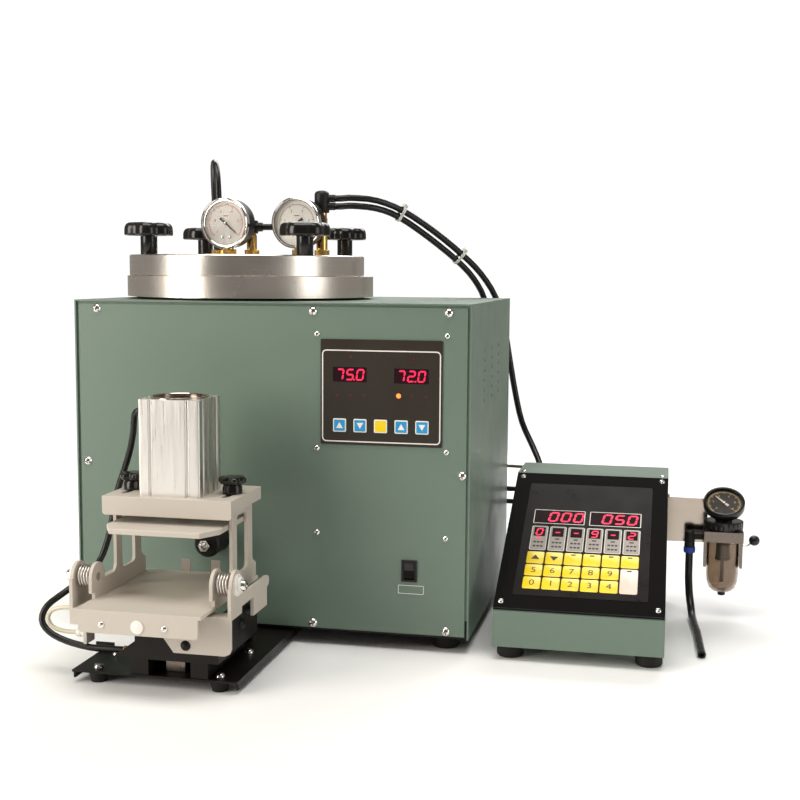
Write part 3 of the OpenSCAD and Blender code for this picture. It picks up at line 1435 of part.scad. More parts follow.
module shutoff_lever() {
    x1 = reg_x0 + regulator_side;
    color("black") placed() {
        rod_x(reg_y, lever_z, x1 - guard_t, x1 + 6, lever_r);
        translate([x1 + 6, reg_y, lever_z]) sphere(r = lever_r);
        translate([x1 + 6, reg_y, lever_z]) rotate([0, 45, 0]) cylinder(h = 8, r = lever_r);
        translate([ball_x, reg_y, lever_z + 6]) sphere(r = ball_r, $fn = 32);
    }
}

module supply_hose() {
    color("#18181a") placed() tube(supply_route, supply_r, 8, [0, 0, -1], [0, -1, 0]);
}

cabinet_shell();
front_panel();
rear_panel();
base_pan();
rubber_feet();
steel_screws();
control_overlay();
heat_up_key();
heat_down_key();
mode_key();
time_up_key();
time_down_key();
snap_in_housings();
power_rocker();
control_board();
vacuum_pump();
wax_pot();
pot_seals();
heater_band();
nozzle_housing();
nozzle_tip();
lid();
lid_knob_1();
lid_knob_2();
lid_knob_3();
lid_knob_4();
lid_fittings();
lid_hoses();
vacuum_gauge();
pressure_gauge();
gauge_glasses();
vacuum_needle();
pressure_needle();
clamp_base();
guide_rods();
advance_cylinder();
carriage();
lower_frame();
pivot_bolts();
pivot_springs();
clamp_hoses();
clamp_frame();
top_tray();
press_cylinder();
press_rod();
press_plate();
tray_knob_left();
tray_knob_right();
controller_case();
controller_panel();
cables_and_fittings();
regulator_bracket();
regulator_body();
regulator_knob();
regulator_gauge();
regulator_needle();
filter_bowl();
filter_element();
shutoff_lever();
supply_hose();
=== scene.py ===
"""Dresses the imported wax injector: hoses, finishes, dials, displays and small trim."""
import bpy
import bmesh
import json
import math
from mathutils import Matrix, Vector

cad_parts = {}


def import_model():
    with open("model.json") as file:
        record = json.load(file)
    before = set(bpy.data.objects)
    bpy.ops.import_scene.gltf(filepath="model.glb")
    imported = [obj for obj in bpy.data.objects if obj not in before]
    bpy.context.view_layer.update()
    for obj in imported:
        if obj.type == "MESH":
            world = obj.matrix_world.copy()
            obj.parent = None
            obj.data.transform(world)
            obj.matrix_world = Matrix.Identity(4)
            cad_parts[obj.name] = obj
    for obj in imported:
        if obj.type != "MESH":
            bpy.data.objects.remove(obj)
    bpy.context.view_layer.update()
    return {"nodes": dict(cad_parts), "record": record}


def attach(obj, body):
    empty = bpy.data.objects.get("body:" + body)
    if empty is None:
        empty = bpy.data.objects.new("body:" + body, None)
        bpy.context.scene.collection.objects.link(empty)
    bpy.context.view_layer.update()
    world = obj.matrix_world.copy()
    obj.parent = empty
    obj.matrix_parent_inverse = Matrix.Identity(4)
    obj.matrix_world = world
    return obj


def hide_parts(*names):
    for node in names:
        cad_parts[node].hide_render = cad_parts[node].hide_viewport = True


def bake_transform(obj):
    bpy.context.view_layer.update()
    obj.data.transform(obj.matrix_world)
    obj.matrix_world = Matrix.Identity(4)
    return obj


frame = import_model()
nodes = frame["nodes"]
slot_of = {s["node"]: s.get("material_slot", s["node"]) for s in frame["record"]["subparts"]}
body_of = {n: b for b, ns in frame["record"]["behaviour"]["bodies"].items() for n in ns}

# The machine's own millimetres: x from the cabinet's left side, y from its front, z from the floor
ORIGIN_X, ORIGIN_Y = 339.55, 44.6
POT_X, POT_Y = 137.5, 140.0
LID_X, LID_Z = 133.5, 380.0
STUD_R, STUD_ANGLE = 117, 45.8
STEM_Y, GAUGE_Z = 125.5, 414.0
VACUUM_X, PRESSURE_X = 117.1, 195.6
PIPES, PIPE_Y, PIPE_Z = (134.1, 189.6), 151, 411
UNION_X, UNION_Y, VENT_X = 212.6, 152, 96.1
FRONT_Y = 1
FILM_X, FILM_Y = 313.35, -0.2
CTRL_X = 424.0
REG_X, REG_Y, REG_Z = 641.5, 200.0, 94.4
ELBOW_X = 607

# The clamp's axis, and millimetres from it
NOZZLE_X = 147.5
HEAD, EAR_IN, EAR_OUT = 57.0, 71.4, 74.4
PIVOT_Y, PIVOT_Z = -150.0, 95.5
TRAY_Z = 163.0
PORT_Y = -132
FLANGE_Y, FLANGE_Z = -190, 64.5

X, Y, Z = (1, 0, 0), (0, 1, 0), (0, 0, 1)
LEFT, FRONT, DOWN = (-1, 0, 0), (0, -1, 0), (0, 0, -1)


def P(x, y, z):
    return Vector(((x - ORIGIN_X) / 1000, (y - ORIGIN_Y) / 1000, z / 1000))


def C(x, y, z):
    """A point given from the clamp's own axis."""
    return P(x + NOZZLE_X, y, z)


def polar(r, degrees, x=0, y=0):
    a = math.radians(degrees)
    return x + r * math.cos(a), y + r * math.sin(a)


def circle(r, n, x=0, y=0):
    return [polar(r, 360 * k / n, x, y) for k in range(n)]


def put(node, **values):
    """Sets a node's own inputs; an underscore stands for a space in the input's name."""
    for name, value in values.items():
        node.inputs[name.replace("_", " ")].default_value = value


def link(tree, a, b):
    tree.links.new(a, b)


# ---------------------------------------------------------------- camera and light

camera = bpy.data.objects.new("camera", bpy.data.cameras.new("camera"))
bpy.context.scene.collection.objects.link(camera)
camera.data.lens = 55.86
camera.data.sensor_width = 36
camera.data.clip_start, camera.data.clip_end = 0.05, 30
right = Vector((0.97747, 0.21096, 0.00659))
down = Vector((0.02833, -0.10019, -0.99456))
forward = Vector((-0.20916, 0.97235, -0.10392))
turn = Matrix((right, -down, -forward)).transposed().to_4x4()
camera.matrix_world = Matrix.Translation(P(577.62, -1141.70, 365.45)) @ turn
bpy.context.scene.camera = camera


def area(name, place, aim, size, power, tint):
    data = bpy.data.lights.new(name, "AREA")
    data.shape = "RECTANGLE"
    data.size, data.size_y = size
    data.energy = power
    data.color = tint
    lamp = bpy.data.objects.new(name, data)
    bpy.context.scene.collection.objects.link(lamp)
    lamp.location = place
    lamp.rotation_euler = (Vector(aim) - Vector(place)).to_track_quat("-Z", "Y").to_euler()


world = bpy.data.worlds.new("studio")
bpy.context.scene.world = world
world.use_nodes = True
# The backdrop is white; the room that lights and is mirrored in the machine is dim
tree = world.node_tree
room = tree.nodes["Background"]
put(room, Color=(1.0, 0.95, 0.88, 1))
way = tree.nodes.new("ShaderNodeTexCoord")
part = tree.nodes.new("ShaderNodeSeparateXYZ")
level = tree.nodes.new("ShaderNodeMapRange")
put(level, From_Min=-0.8, From_Max=0.9, To_Min=0.14, To_Max=0.30)
backdrop = tree.nodes.new("ShaderNodeBackground")
put(backdrop, Color=(1, 1, 1, 1), Strength=1.05)
ray = tree.nodes.new("ShaderNodeLightPath")
either = tree.nodes.new("ShaderNodeMixShader")
link(tree, way.outputs["Generated"], part.inputs[0])
link(tree, part.outputs["Y"], level.inputs["Value"])
link(tree, level.outputs["Result"], room.inputs["Strength"])
link(tree, ray.outputs["Is Camera Ray"], either.inputs["Fac"])
link(tree, room.outputs["Background"], either.inputs[1])
link(tree, backdrop.outputs["Background"], either.inputs[2])
link(tree, either.outputs["Shader"], tree.nodes["World Output"].inputs["Surface"])
area("key", (-1.55, -1.36, 0.85), (-0.2, 0.1, 0.3), (0.95, 1.7), 37, (1, 0.95, 0.88))
area("side", (1.95, -0.50, 0.62), (-0.1, 0.1, 0.25), (0.9, 1.3), 9, (1, 0.97, 0.93))
area("top", (0.0, -0.35, 2.0), (0, -0.05, 0.2), (1.7, 1.0), 27, (1, 0.98, 0.95))
area("back", (0.0, 1.5, 1.5), (0, 0.75, 0), (2.0, 0.8), 30, (1, 1, 1))
bpy.context.scene.view_settings.view_transform = "Standard"

# ---------------------------------------------------------------- materials


# A pattern's stretch where it runs the same every way
EVEN = (1, 1, 1)


def shader(name):
    m = bpy.data.materials.new(name)
    m.use_nodes = True
    return m, m.node_tree, m.node_tree.nodes["Principled BSDF"]


def noise(tree, scale, detail, stretch=EVEN, vector=None):
    n = tree.nodes.new("ShaderNodeTexNoise")
    put(n, Scale=scale, Detail=detail)
    if vector is None:
        vector = tree.nodes.new("ShaderNodeTexCoord").outputs["Object"]
    mapping = tree.nodes.new("ShaderNodeMapping")
    put(mapping, Scale=stretch)
    link(tree, vector, mapping.inputs["Vector"])
    link(tree, mapping.outputs["Vector"], n.inputs["Vector"])
    return n.outputs["Fac"]


def spread(tree, value, low, high):
    r = tree.nodes.new("ShaderNodeMapRange")
    put(r, From_Min=0.3, From_Max=0.7, To_Min=low, To_Max=high)
    link(tree, value, r.inputs["Value"])
    return r.outputs["Result"]


def mix(tree, value, a, b):
    n = tree.nodes.new("ShaderNodeMix")
    n.data_type = "RGBA"
    link(tree, value, n.inputs["Factor"])
    put(n, A=(*a, 1), B=(*b, 1))
    return n.outputs["Result"]


def bump(tree, bsdf, value, strength, distance):
    b = tree.nodes.new("ShaderNodeBump")
    put(b, Strength=strength, Distance=distance)
    link(tree, value, b.inputs["Height"])
    link(tree, b.outputs["Normal"], bsdf.inputs["Normal"])


def vector_math(tree, operation, vector, by=None):
    n = tree.nodes.new("ShaderNodeVectorMath")
    n.operation = operation
    link(tree, vector, n.inputs[0])
    if by is not None:
        n.inputs[1].default_value = by
    return n.outputs


def tone(c, k):
    return tuple(min(1.0, x * k) for x in c)


def skin(tree, b, shade, dark, light, gloss, low, high):
    """Colour from dark to light by one pattern, roughness from low to high by another."""
    link(tree, mix(tree, shade, dark, light), b.inputs["Base Color"])
    link(tree, spread(tree, gloss, low, high), b.inputs["Roughness"])


def coated(name, colour, rough, grain=900, depth=0.00012, strength=0.35, patch=7, vary=0.07,
           coat=0.0, shine=0.5):
    """A paint or plastic: slow shade variation, a fine skin and uneven gloss."""
    m, tree, b = shader(name)
    skin(tree, b, noise(tree, patch, 4), tone(colour, 1 - vary), tone(colour, 1 + vary),
         noise(tree, patch * 5, 5), rough * 0.86, rough * 1.14)
    bump(tree, b, noise(tree, grain, 2), strength, depth)
    put(b, Specular_IOR_Level=shine)
    if coat:
        put(b, Coat_Weight=coat, Coat_Roughness=0.08)
    return m


def ink(name, colour, rough=0.4, vary=0.07):
    return coated(name, colour, rough, grain=1600, strength=0.1, vary=vary)


def key_face(name, colour, rough=0.34):
    return coated(name, colour, rough, grain=1300, strength=0.15, vary=0.03)


def brushed(name, colour, rough, stretch, scale=60, strength=0.25, depth=0.00006,
            low=0.82, high=1.1):
    m, tree, b = shader(name)
    lines = noise(tree, scale, 6, stretch)
    skin(tree, b, lines, tone(colour, low), tone(colour, high), lines, rough * 0.8, rough * 1.25)
    bump(tree, b, lines, strength, depth)
    put(b, Metallic=1.0)
    return m


def turned(name, colour, rough, centre):
    """Metal turned on a lathe about a vertical axis: the tool marks are rings."""
    m, tree, b = shader(name)
    place = tree.nodes.new("ShaderNodeTexCoord").outputs["Object"]
    shift = vector_math(tree, "SUBTRACT", place, centre)["Vector"]
    flat = vector_math(tree, "MULTIPLY", shift, (1, 1, 0))["Vector"]
    parts = tree.nodes.new("ShaderNodeSeparateXYZ")
    link(tree, shift, parts.inputs[0])
    rings = tree.nodes.new("ShaderNodeCombineXYZ")
    link(tree, vector_math(tree, "LENGTH", flat)["Value"], rings.inputs["X"])
    link(tree, parts.outputs["Z"], rings.inputs["Z"])
    marks = noise(tree, 900, 5, vector=rings.outputs["Vector"])
    skin(tree, b, marks, tone(colour, 0.86), tone(colour, 1.08), noise(tree, 14, 4), rough * 0.85,
         rough * 1.2)
    bump(tree, b, marks, 0.3, 0.00005)
    put(b, Metallic=1.0, Anisotropic=0.5)
    return m


def clear(name, tint, rough, ior, shine=0.5):
    m, tree, b = shader(name)
    skin(tree, b, noise(tree, 30, 3), tone(tint, 0.96), tint, noise(tree, 60, 4), rough * 0.7,
         rough * 1.3)
    put(b, Transmission_Weight=1.0, IOR=ior, Specular_IOR_Level=shine)
    return m


def lit(name, colour, power):
    m, tree, b = shader(name)
    shade = mix(tree, noise(tree, 900, 2), tone(colour, 0.9), colour)
    link(tree, shade, b.inputs["Base Color"])
    link(tree, shade, b.inputs["Emission Color"])
    put(b, Emission_Strength=power, Roughness=0.4)
    return m


paint_green = coated("green_paint", (0.138, 0.196, 0.152), 0.40, 620, 0.00026, 0.55, 5, 0.04)
paint_beige = coated("beige_paint", (0.55, 0.495, 0.43), 0.45, 1100, vary=0.04)
paint_black = coated("black_paint", (0.009, 0.007, 0.006), 0.40, 1400, strength=0.25, shine=0.2)
paint_grey = coated("grey_paint", (0.10, 0.10, 0.105), 0.45, 1200)
steel = brushed("bright_steel", (0.80, 0.78, 0.75), 0.16, EVEN, 300, 0.1, 0.00003)
spring_steel = brushed("spring_steel", (0.60, 0.56, 0.52), 0.34, EVEN, 60, 0.05, 0.00002, 0.96,
                       1.04)
chrome = brushed("chrome", (0.86, 0.84, 0.82), 0.06, EVEN, 90, 0.05, 0.00002)
zinc = brushed("zinc_steel", (0.50, 0.43, 0.37), 0.16, (1, 1, 3), 30, 0.06, 0.00003, 0.94, 1.04)
dark_alloy = brushed("dark_alloy", (0.22, 0.185, 0.16), 0.26, EVEN, 60, 0.1, 0.00004, 0.9, 1.1)
brass = brushed("brass", (0.83, 0.56, 0.18), 0.22, EVEN, 260, 0.15, 0.00003)
extruded = brushed("extruded_aluminium", (0.80, 0.77, 0.73), 0.34, (30, 30, 1), 30, 0.03, 0.00002,
                   0.96, 1.02)
pot_metal = turned("turned_aluminium", (0.80, 0.74, 0.68), 0.26, P(POT_X, POT_Y, 0))
lid_metal = turned("turned_lid", (0.82, 0.77, 0.71), 0.24, P(LID_X, POT_Y, 0))
band_metal = brushed("heater_steel", (0.5, 0.5, 0.5), 0.35, (1, 1, 20))
rubber = coated("rubber", (0.010, 0.009, 0.008), 0.62, 1500, strength=0.4, vary=0.15, shine=0.3)
hose_black = coated("air_hose", (0.007, 0.006, 0.006), 0.28, 400, strength=0.08, vary=0.2,
                    shine=0.4)
hose_brown = coated("thin_tube", (0.16, 0.12, 0.08), 0.35, 400, strength=0.08)
hose_pale = coated("pale_tube", (0.62, 0.56, 0.42), 0.35, 400, strength=0.08)
plastic = coated("black_plastic", (0.006, 0.005, 0.004), 0.24, strength=0.1, vary=0.1, coat=0.15,
                 shine=0.4)
satin_plastic = coated("satin_plastic", (0.010, 0.009, 0.008), 0.42, 1500, strength=0.3, shine=0.3)
acrylic = coated("black_acrylic", (0.004, 0.0032, 0.003), 0.09, 120, 0.00001, 0.01, shine=0.3)
film = coated("dark_film", (0.030, 0.0235, 0.0175), 0.36, 1600, 0.00002, 0.05, shine=0.3)
film_black = coated("film_black", (0.009, 0.007, 0.006), 0.3, 1600, 0.00002, 0.05, shine=0.16)
print_white = ink("printed_white", (0.86, 0.82, 0.76), vary=0.02)
print_grey = ink("printed_grey", (0.36, 0.32, 0.28), vary=0.03)
# Black print, also used as the painted shade in the dome screws' cross recesses
black_print_and_recess_shade = ink("printed_black_and_recess_shade", (0.02, 0.015, 0.012), 0.45)
print_red = ink("printed_red", (0.55, 0.02, 0.02), 0.45)
key_blue = key_face("blue_key", (0.02, 0.30, 0.62))
key_yellow = key_face("yellow_key", (0.92, 0.66, 0.008))
key_pink = key_face("pale_key", (0.80, 0.62, 0.52), 0.36)
window = coated("display_window", (0.016, 0.004, 0.008), 0.16, strength=0.05)
digit = lit("lit_digit", (1.0, 0.012, 0.075), 0.95)
lamp_on = lit("lit_lamp", (1.0, 0.20, 0.03), 1.7)
lamp_off = coated("dark_lamp", (0.10, 0.008, 0.012), 0.3)
dial_black = ink("dark_dial_face", (0.020, 0.013, 0.009))
print_gold = ink("printed_gold", (0.72, 0.55, 0.22))
dial_white = ink("dial_face", (0.80, 0.76, 0.71), 0.5, 0.02)
board_green = coated("circuit_board", (0.02, 0.16, 0.07), 0.4, 1800, strength=0.5, patch=60,
                     vary=0.3)
glass = clear("gauge_glass", (0.98, 0.98, 0.97), 0.02, 1.12, 0.1)
bowl_clear = clear("smoked_bowl", (0.42, 0.34, 0.27), 0.02, 1.5)
felt = coated("filter_felt", (0.62, 0.55, 0.38), 0.8, 2500, strength=0.8)
nylon = coated("white_nylon", (0.82, 0.80, 0.74), 0.45)
ring_blue = coated("blue_ring", (0.02, 0.06, 0.42), 0.4)

# ---------------------------------------------------------------- mesh helpers


def soften(mesh, degrees):
    """Smooth shading, with edges sharper than the angle kept sharp."""
    for f in mesh.polygons:
        f.use_smooth = True
    mesh.set_sharp_from_angle(angle=math.radians(degrees))


def obj(name, mesh, mats, body=None, smooth=35):
    o = bpy.data.objects.new(name, mesh)
    bpy.context.scene.collection.objects.link(o)
    for m in mats if isinstance(mats, list) else [mats]:
        mesh.materials.append(m)
    soften(mesh, smooth)
    if body:
        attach(o, body)
    return o


def ring_faces(rings, n):
    """Faces between rings of n points each."""
    return [(i + k, i + (k + 1) % n, i + n + (k + 1) % n, i + n + k)
            for i in range(0, (rings - 1) * n, n) for k in range(n)]


class Build:
    """Collects simple forms into one mesh, each with its own material index."""

    def __init__(self):
        self.bm = bmesh.new()

    def add(self, verts, faces, mat, at):
        """verts in local mm"""
        made = [self.bm.verts.new(at @ (Vector(v) / 1000)) for v in verts]
        for f in faces:
            self.bm.faces.new([made[i] for i in f]).material_index = mat

    def lathe(self, profile, at, mat=0, n=48):
        """profile: (radius, height) pairs from one end to the other, about the local Z axis."""
        verts, faces, rings = [], [], []
        for r, z in profile:
            ring = [(0, 0, z)] if r < 1e-6 else [(x, y, z) for x, y in circle(r, n)]
            rings.append(range(len(verts), len(verts) + len(ring)))
            verts += ring
        for a, b in zip(rings, rings[1:]):
            for k in range(n):
                j = (k + 1) % n
                if len(a) == 1 and len(b) == 1:
                    continue
                if len(a) == 1:
                    faces.append((a[0], b[j], b[k]))
                elif len(b) == 1:
                    faces.append((a[k], a[j], b[0]))
                else:
                    faces.append((a[k], a[j], b[j], b[k]))
        self.add(verts, faces, mat, at)

    def waved(self, profile, dip, n, at, mat=0, capped=True):
        """Rings as (radius, height, share of the dip); dip(k) is the k-th point's dip in mm."""
        verts = []
        for r, z, share in profile:
            for k in range(n):
                verts.append((*polar(r - share * dip(k), 360 * k / n), z))
        faces = ring_faces(len(profile), n)
        if capped:
            faces += [tuple(range(n))[::-1], tuple(range(len(verts) - n, len(verts)))]
        self.add(verts, faces, mat, at)

    def prism(self, outline, at, low, high, mat=0, crown=0.0):
        """An outline extruded along local Z from low to high; crown insets the top edge."""
        n = len(outline)
        cx = sum(p[0] for p in outline) / n
        cy = sum(p[1] for p in outline) / n
        size = max(max(abs(p[0] - cx), abs(p[1] - cy)) for p in outline)
        levels = [(low, 1.0), (high, 1 - crown / size)]
        if crown:
            levels.insert(1, (high - crown * 0.6, 1.0))
        verts = [(cx + (x - cx) * k, cy + (y - cy) * k, z) for z, k in levels for x, y in outline]
        ends = [tuple(range(n))[::-1], tuple(range(len(verts) - n, len(verts)))]
        self.add(verts, ends + ring_faces(len(levels), n), mat, at)

    def strip(self, line, width, at, low, high, mat=0, closed=False):
        """A flat printed line of that width along 2-D points."""
        n = len(line)
        left, rights = [], []
        for i, (x, y) in enumerate(line):
            a = line[i - 1] if i or closed else line[i]
            b = line[(i + 1) % n] if i < n - 1 or closed else line[i]
            d = Vector((b[0] - a[0], b[1] - a[1]))
            d.normalize()
            left.append((x - d.y * width / 2, y + d.x * width / 2))
            rights.append((x + d.y * width / 2, y - d.x * width / 2))
        for i in range(n if closed else n - 1):
            j = (i + 1) % n
            quad = [left[i], left[j], rights[j], rights[i]]
            self.add([(x, y, z) for z in (low, high) for x, y in quad],
                     [(3, 2, 1, 0), (4, 5, 6, 7), (0, 1, 5, 4), (2, 3, 7, 6), (1, 2, 6, 5),
                      (3, 0, 4, 7)], mat, at)

    def text(self, words, size, at, mat=0, height=0.08):
        """Plain figures of that height in mm, as thin raised print."""
        curve = bpy.data.curves.new("figures", "FONT")
        curve.body = words
        curve.size = size / 1000 * 1.35
        curve.align_x = curve.align_y = "CENTER"
        curve.extrude = height / 2000
        curve.resolution_u = 3
        holder = bpy.data.objects.new("figures", curve)
        bpy.context.scene.collection.objects.link(holder)
        bpy.context.view_layer.update()
        seen = holder.evaluated_get(bpy.context.evaluated_depsgraph_get())
        mesh = bpy.data.meshes.new_from_object(seen)
        mesh.transform(at)
        start = len(self.bm.faces)
        self.bm.from_mesh(mesh)
        self.bm.faces.ensure_lookup_table()
        for f in self.bm.faces[start:]:
            f.material_index = mat
        bpy.data.objects.remove(holder)
        bpy.data.curves.remove(curve)
        bpy.data.meshes.remove(mesh)

    def piece(self, name, mats, body, slot, node=None, smooth=35):
        """All of it as one piece on a body, standing for a CAD node where one is named."""
        bmesh.ops.recalc_face_normals(self.bm, faces=self.bm.faces)
        mesh = bpy.data.meshes.new(name)
        self.bm.to_mesh(mesh)
        self.bm.free()
        o = obj(name, mesh, mats, body, smooth)
        if node:
            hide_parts(node)


def axes(origin, x, z):
    """A placement with local X and local Z given in the row frame."""
    z = Vector(z).normalized()
    x = (Vector(x) - z * Vector(x).dot(z)).normalized()
    return Matrix.Translation(origin) @ Matrix((x, z.cross(x), z)).transposed().to_4x4()


def upright(point):
    return axes(point, X, Z)


def facing(point):
    """Local Z towards the front, for what is drawn on a front face."""
    return axes(point, X, FRONT)


def rounded_rect(x0, x1, y0, y1, r, n=5):
    corners = ((x1 - r, y1 - r), (x0 + r, y1 - r), (x0 + r, y0 + r), (x1 - r, y0 + r))
    return [polar(r, 90 * (i + k / n), x, y) for i, (x, y) in enumerate(corners)
            for k in range(n + 1)]


EDGE_ANGLE = 32


def dress(node, material, width, segments):
    """The CAD solid's own shape with softly rounded edges, standing for the node."""
    me = nodes[node].data.copy()
    bm = bmesh.new()
    bm.from_mesh(me)
    bmesh.ops.remove_doubles(bm, verts=bm.verts, dist=1e-6)
    bmesh.ops.dissolve_limit(bm, angle_limit=math.radians(0.4), verts=bm.verts, edges=bm.edges)
    bm.to_mesh(me)
    bm.free()
    me.materials.clear()
    o = obj(node + "_finished", me, material, smooth=EDGE_ANGLE)
    mod = o.modifiers.new("edges", "BEVEL")
    mod.width = width / 1000
    mod.segments = segments
    mod.limit_method = "ANGLE"
    mod.angle_limit = math.radians(EDGE_ANGLE)
    mod.use_clamp_overlap = True
    mod.harden_normals = False
    o.modifiers.new("normals", "WEIGHTED_NORMAL").keep_sharp = True
    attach(o, body_of[node])
    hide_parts(node)


def paint(node, material):
    for s in nodes[node].material_slots:
        s.material = material
    soften(nodes[node].data, EDGE_ANGLE)


def curve_points(points, n):
    """A smooth line through the points, n steps to each span."""
    out = []
    last = len(points) - 1
    for i in range(last):
        a, b, c, d = (Vector(points[max(0, min(last, j))]) for j in (i - 1, i, i + 1, i + 2))
        for k in range(n):
            u = k / n
            out.append(0.5 * (2 * b + (c - a) * u + (2 * a - 5 * b + 4 * c - d) * u * u
                              + (3 * b - a - 3 * c + d) * u ** 3))
    out.append(Vector(points[-1]))
    return out


BORE_DEPTH = 0.006


def tube(name, line, radius, material, body, sides=16, start=None, end=None,
         bore=0.0):
    """A round hose along a line in metres, with square ends; bore opens its far end."""
    n = len(line)
    tangents = [(line[min(i + 1, n - 1)] - line[max(i - 1, 0)]).normalized() for i in range(n)]
    if start:
        tangents[0] = Vector(start).normalized()
    if end:
        tangents[-1] = Vector(end).normalized()
    side = Vector(X) if abs(tangents[0].z) > 0.9 else Vector(Z)
    verts = []
    for p, t in zip(line, tangents):
        side = (side - t * side.dot(t)).normalized()
        other = t.cross(side)
        verts += [p + x * side + y * other for x, y in circle(radius, sides)]
    if bore:
        for depth in (0, BORE_DEPTH):
            verts += [p - t * depth + x * side + y * other for x, y in circle(bore, sides)]
    faces = ring_faces(len(verts) // sides, sides)
    faces += [tuple(range(sides))[::-1], tuple(range(len(verts) - sides, len(verts)))]
    me = bpy.data.meshes.new(name)
    me.from_pydata([tuple(v) for v in verts], [], faces)
    me.validate()
    return obj(name, me, material, body, 60)


# ---------------------------------------------------------------- hoses and cables


def route(place, *points):
    return [place(*p) for p in points]


supply_line = route(
    P, (607, 200, 67), (607, 200, 56), (607, 200, 44), (607.5, 198, 32), (608.5, 193, 21),
    (610, 185, 12), (611, 174, 6), (612, 160, 4), (613, 142, 4), (615, 118, 4), (616, 92, 4),
    (617, 66, 4), (618, 42, 4))
controller_line = route(
    P, (227.6, 152, 441.2), (234.6, 152, 441.2), (245, 157, 442), (268, 172, 440),
    (292, 196, 430), (320, 228, 409), (347, 258, 384), (366, 280, 362), (381, 297, 335),
    (391, 303, 300), (398, 303, 262), (405, 303, 224), (414, 298, 190), (428, 286, 164),
    (438, 272, 146), (440, 264.2, 134), (440, 264.2, 122))
cabinet_line = route(
    P, (227.6, 152, 432.8), (234.6, 152, 432.8), (245, 157, 433.6), (267, 172, 431.6),
    (287, 195, 423.5), (314, 227, 402.5), (341, 257, 377.5), (358, 275, 357), (369, 289, 333),
    (372, 293, 305), (372, 293, 282), (372, 293, 270))
vent_line = route(
    P, (96.1, 151, 398), (96.1, 151, 410), (96.5, 151, 430), (95, 153, 455), (91, 160, 473),
    (84, 173, 482), (74, 196, 481), (62, 228, 466), (52, 258, 435), (44, 283, 395),
    (40, 293, 350), (39, 293, 310), (39, 293, 282), (39, 293, 270))
press_line = route(
    C, (-37, -90.5, 236), (-41, -90.5, 236), (-46, -87, 231), (-50.5, -80, 215), (-57, -74, 196),
    (-64.5, -70, 178), (-71, -70, 160), (-76, -71, 136), (-80, -75, 112), (-85, -84, 92),
    (-94, -98, 79), (-105, -115, 69), (-116, -127, 59), (-119, -132, 47), (-111, -134, 37),
    (-94, -135, 30), (-70, -136, 26), (-48, -136, 26), (-37, -136, 26))
drain_line = route(
    C, (-84.4, -132, 60), (-96, -132, 60), (-108, -132, 57), (-113, -132, 49), (-108, -132, 41),
    (-96, -132, 38), (-84.4, -132, 38))


def cord(name, points, radius, material, body, node, start, end,
         steps=3, bore=0.0, meets=None):
    """A hose or cable; meets holds the places where it leaves the lid and joins the machine."""
    line = curve_points(points, steps)
    piece = tube(name, line, radius, material, None, 16, start, end, bore)
    if meets:
        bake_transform(piece)
    else:
        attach(piece, body)
    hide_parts(node)


cord("supply_hose_black", supply_line, 0.004, hose_black, "machine", "supply_hose", DOWN,
     (0.02, -1, 0), bore=0.0026)
for name, line, start, *meets in (
        ("controller_hose", controller_line, X, P(234, 152, 441), P(391, 303, 300)),
        ("cabinet_hose", cabinet_line, X, P(234, 152, 433), P(371, 291, 310)),
        ("vent_hose", vent_line, Z, P(95, 153, 455), P(39, 293, 272))):
    cord(name, line, 0.0035, hose_black, "lid", "lid_hoses", start, DOWN, meets=meets)
link_tube = tube("gauge_link_tube", [P(x, PIPE_Y, PIPE_Z) for x in (146.1, 162, 177.6)], 0.0035,
                 hose_black, "lid")
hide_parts("lid_hoses")
cord("press_hose", press_line, 0.003, hose_black, "carriage", "clamp_hoses", LEFT, X)
cord("drain_tube", drain_line, 0.002, hose_pale, "carriage", "clamp_hoses", LEFT, X)
CABLES = ((300, 110, 3.0), (300, 95, 3.0), (294, 138, 1.8))
for i, (y, z, r) in enumerate(CABLES):
    run = route(P, (372, 278, z), (377, y - 8, z), (392, y, z), (418, y - 3, z),
                (442, y - 16, z), (452, 252.2, z))
    cord(f"controller_cable_{i + 1}", run, r / 1000, hose_brown if i == 2 else hose_black,
         "machine", "cables_and_fittings", Y, FRONT, steps=4)

# Two cable ties on the lid's hoses
b = Build()
for i in (4, 6):
    at = axes((controller_line[i] + cabinet_line[i]) / 2, controller_line[i] - cabinet_line[i],
              controller_line[i + 1] - controller_line[i - 1])
    b.strip(rounded_rect(-8.6, 8.6, -4.3, 4.3, 4.2, 6), 0.9, at, -1.6, 1.6, 0, True)
    b.prism(rounded_rect(8.2, 12.2, -2.2, 2.2, 0.6, 2), at, -2.4, 2.4)
b.piece("hose_ties", nylon, "lid", "air_hose")

# Elbows, collars and grommets of the hoses on the machine itself
b = Build()
for x, y, z, reach, up in ((39, 279, 262, 14, 8), (372, 279, 262, 14, 8),
                           (440, 253.2, 112, 11, 10)):
    b.lathe([(0, -2.5), (4.6, -2.5), (4.6, 0), (7, 0), (7, 1.6), (6.6, 2), (4.8, 2), (4.8, reach),
             (3.8, reach + 3.4), (0, reach + 4.4)], axes(P(x, y, z), X, Y), 0, 32)
    b.lathe([(0, -5), (4.9, -5), (5.5, -4), (5.5, up - 3), (5.1, up - 2.6), (5.1, up - 1.6),
             (5.5, up - 1.2), (5.5, up - 0.4), (5.0, up), (3.5, up), (3.5, up - 3), (0, up - 3)],
            upright(P(x, y + reach, z)), 0, 32)
for y, z, r in CABLES:
    for x, wall in ((372, 279), (452, 253.2)):
        b.lathe([(r, -1.5), (4, -1.5), (4, 0), (5.5, 0), (5.5, 1.4), (4.9, 2), (r + 0.1, 2)],
                axes(P(x, wall, z), X, Y), 1, 32)
b.lathe([(0, 0), (4.5, 0), (4.5, 12.8), (5.2, 13.4), (5.2, 15.5), (0, 15.5)],
        axes(P(ELBOW_X, REG_Y, 86), Z, X), 0, 32)
elbow = upright(P(ELBOW_X, REG_Y, 0))
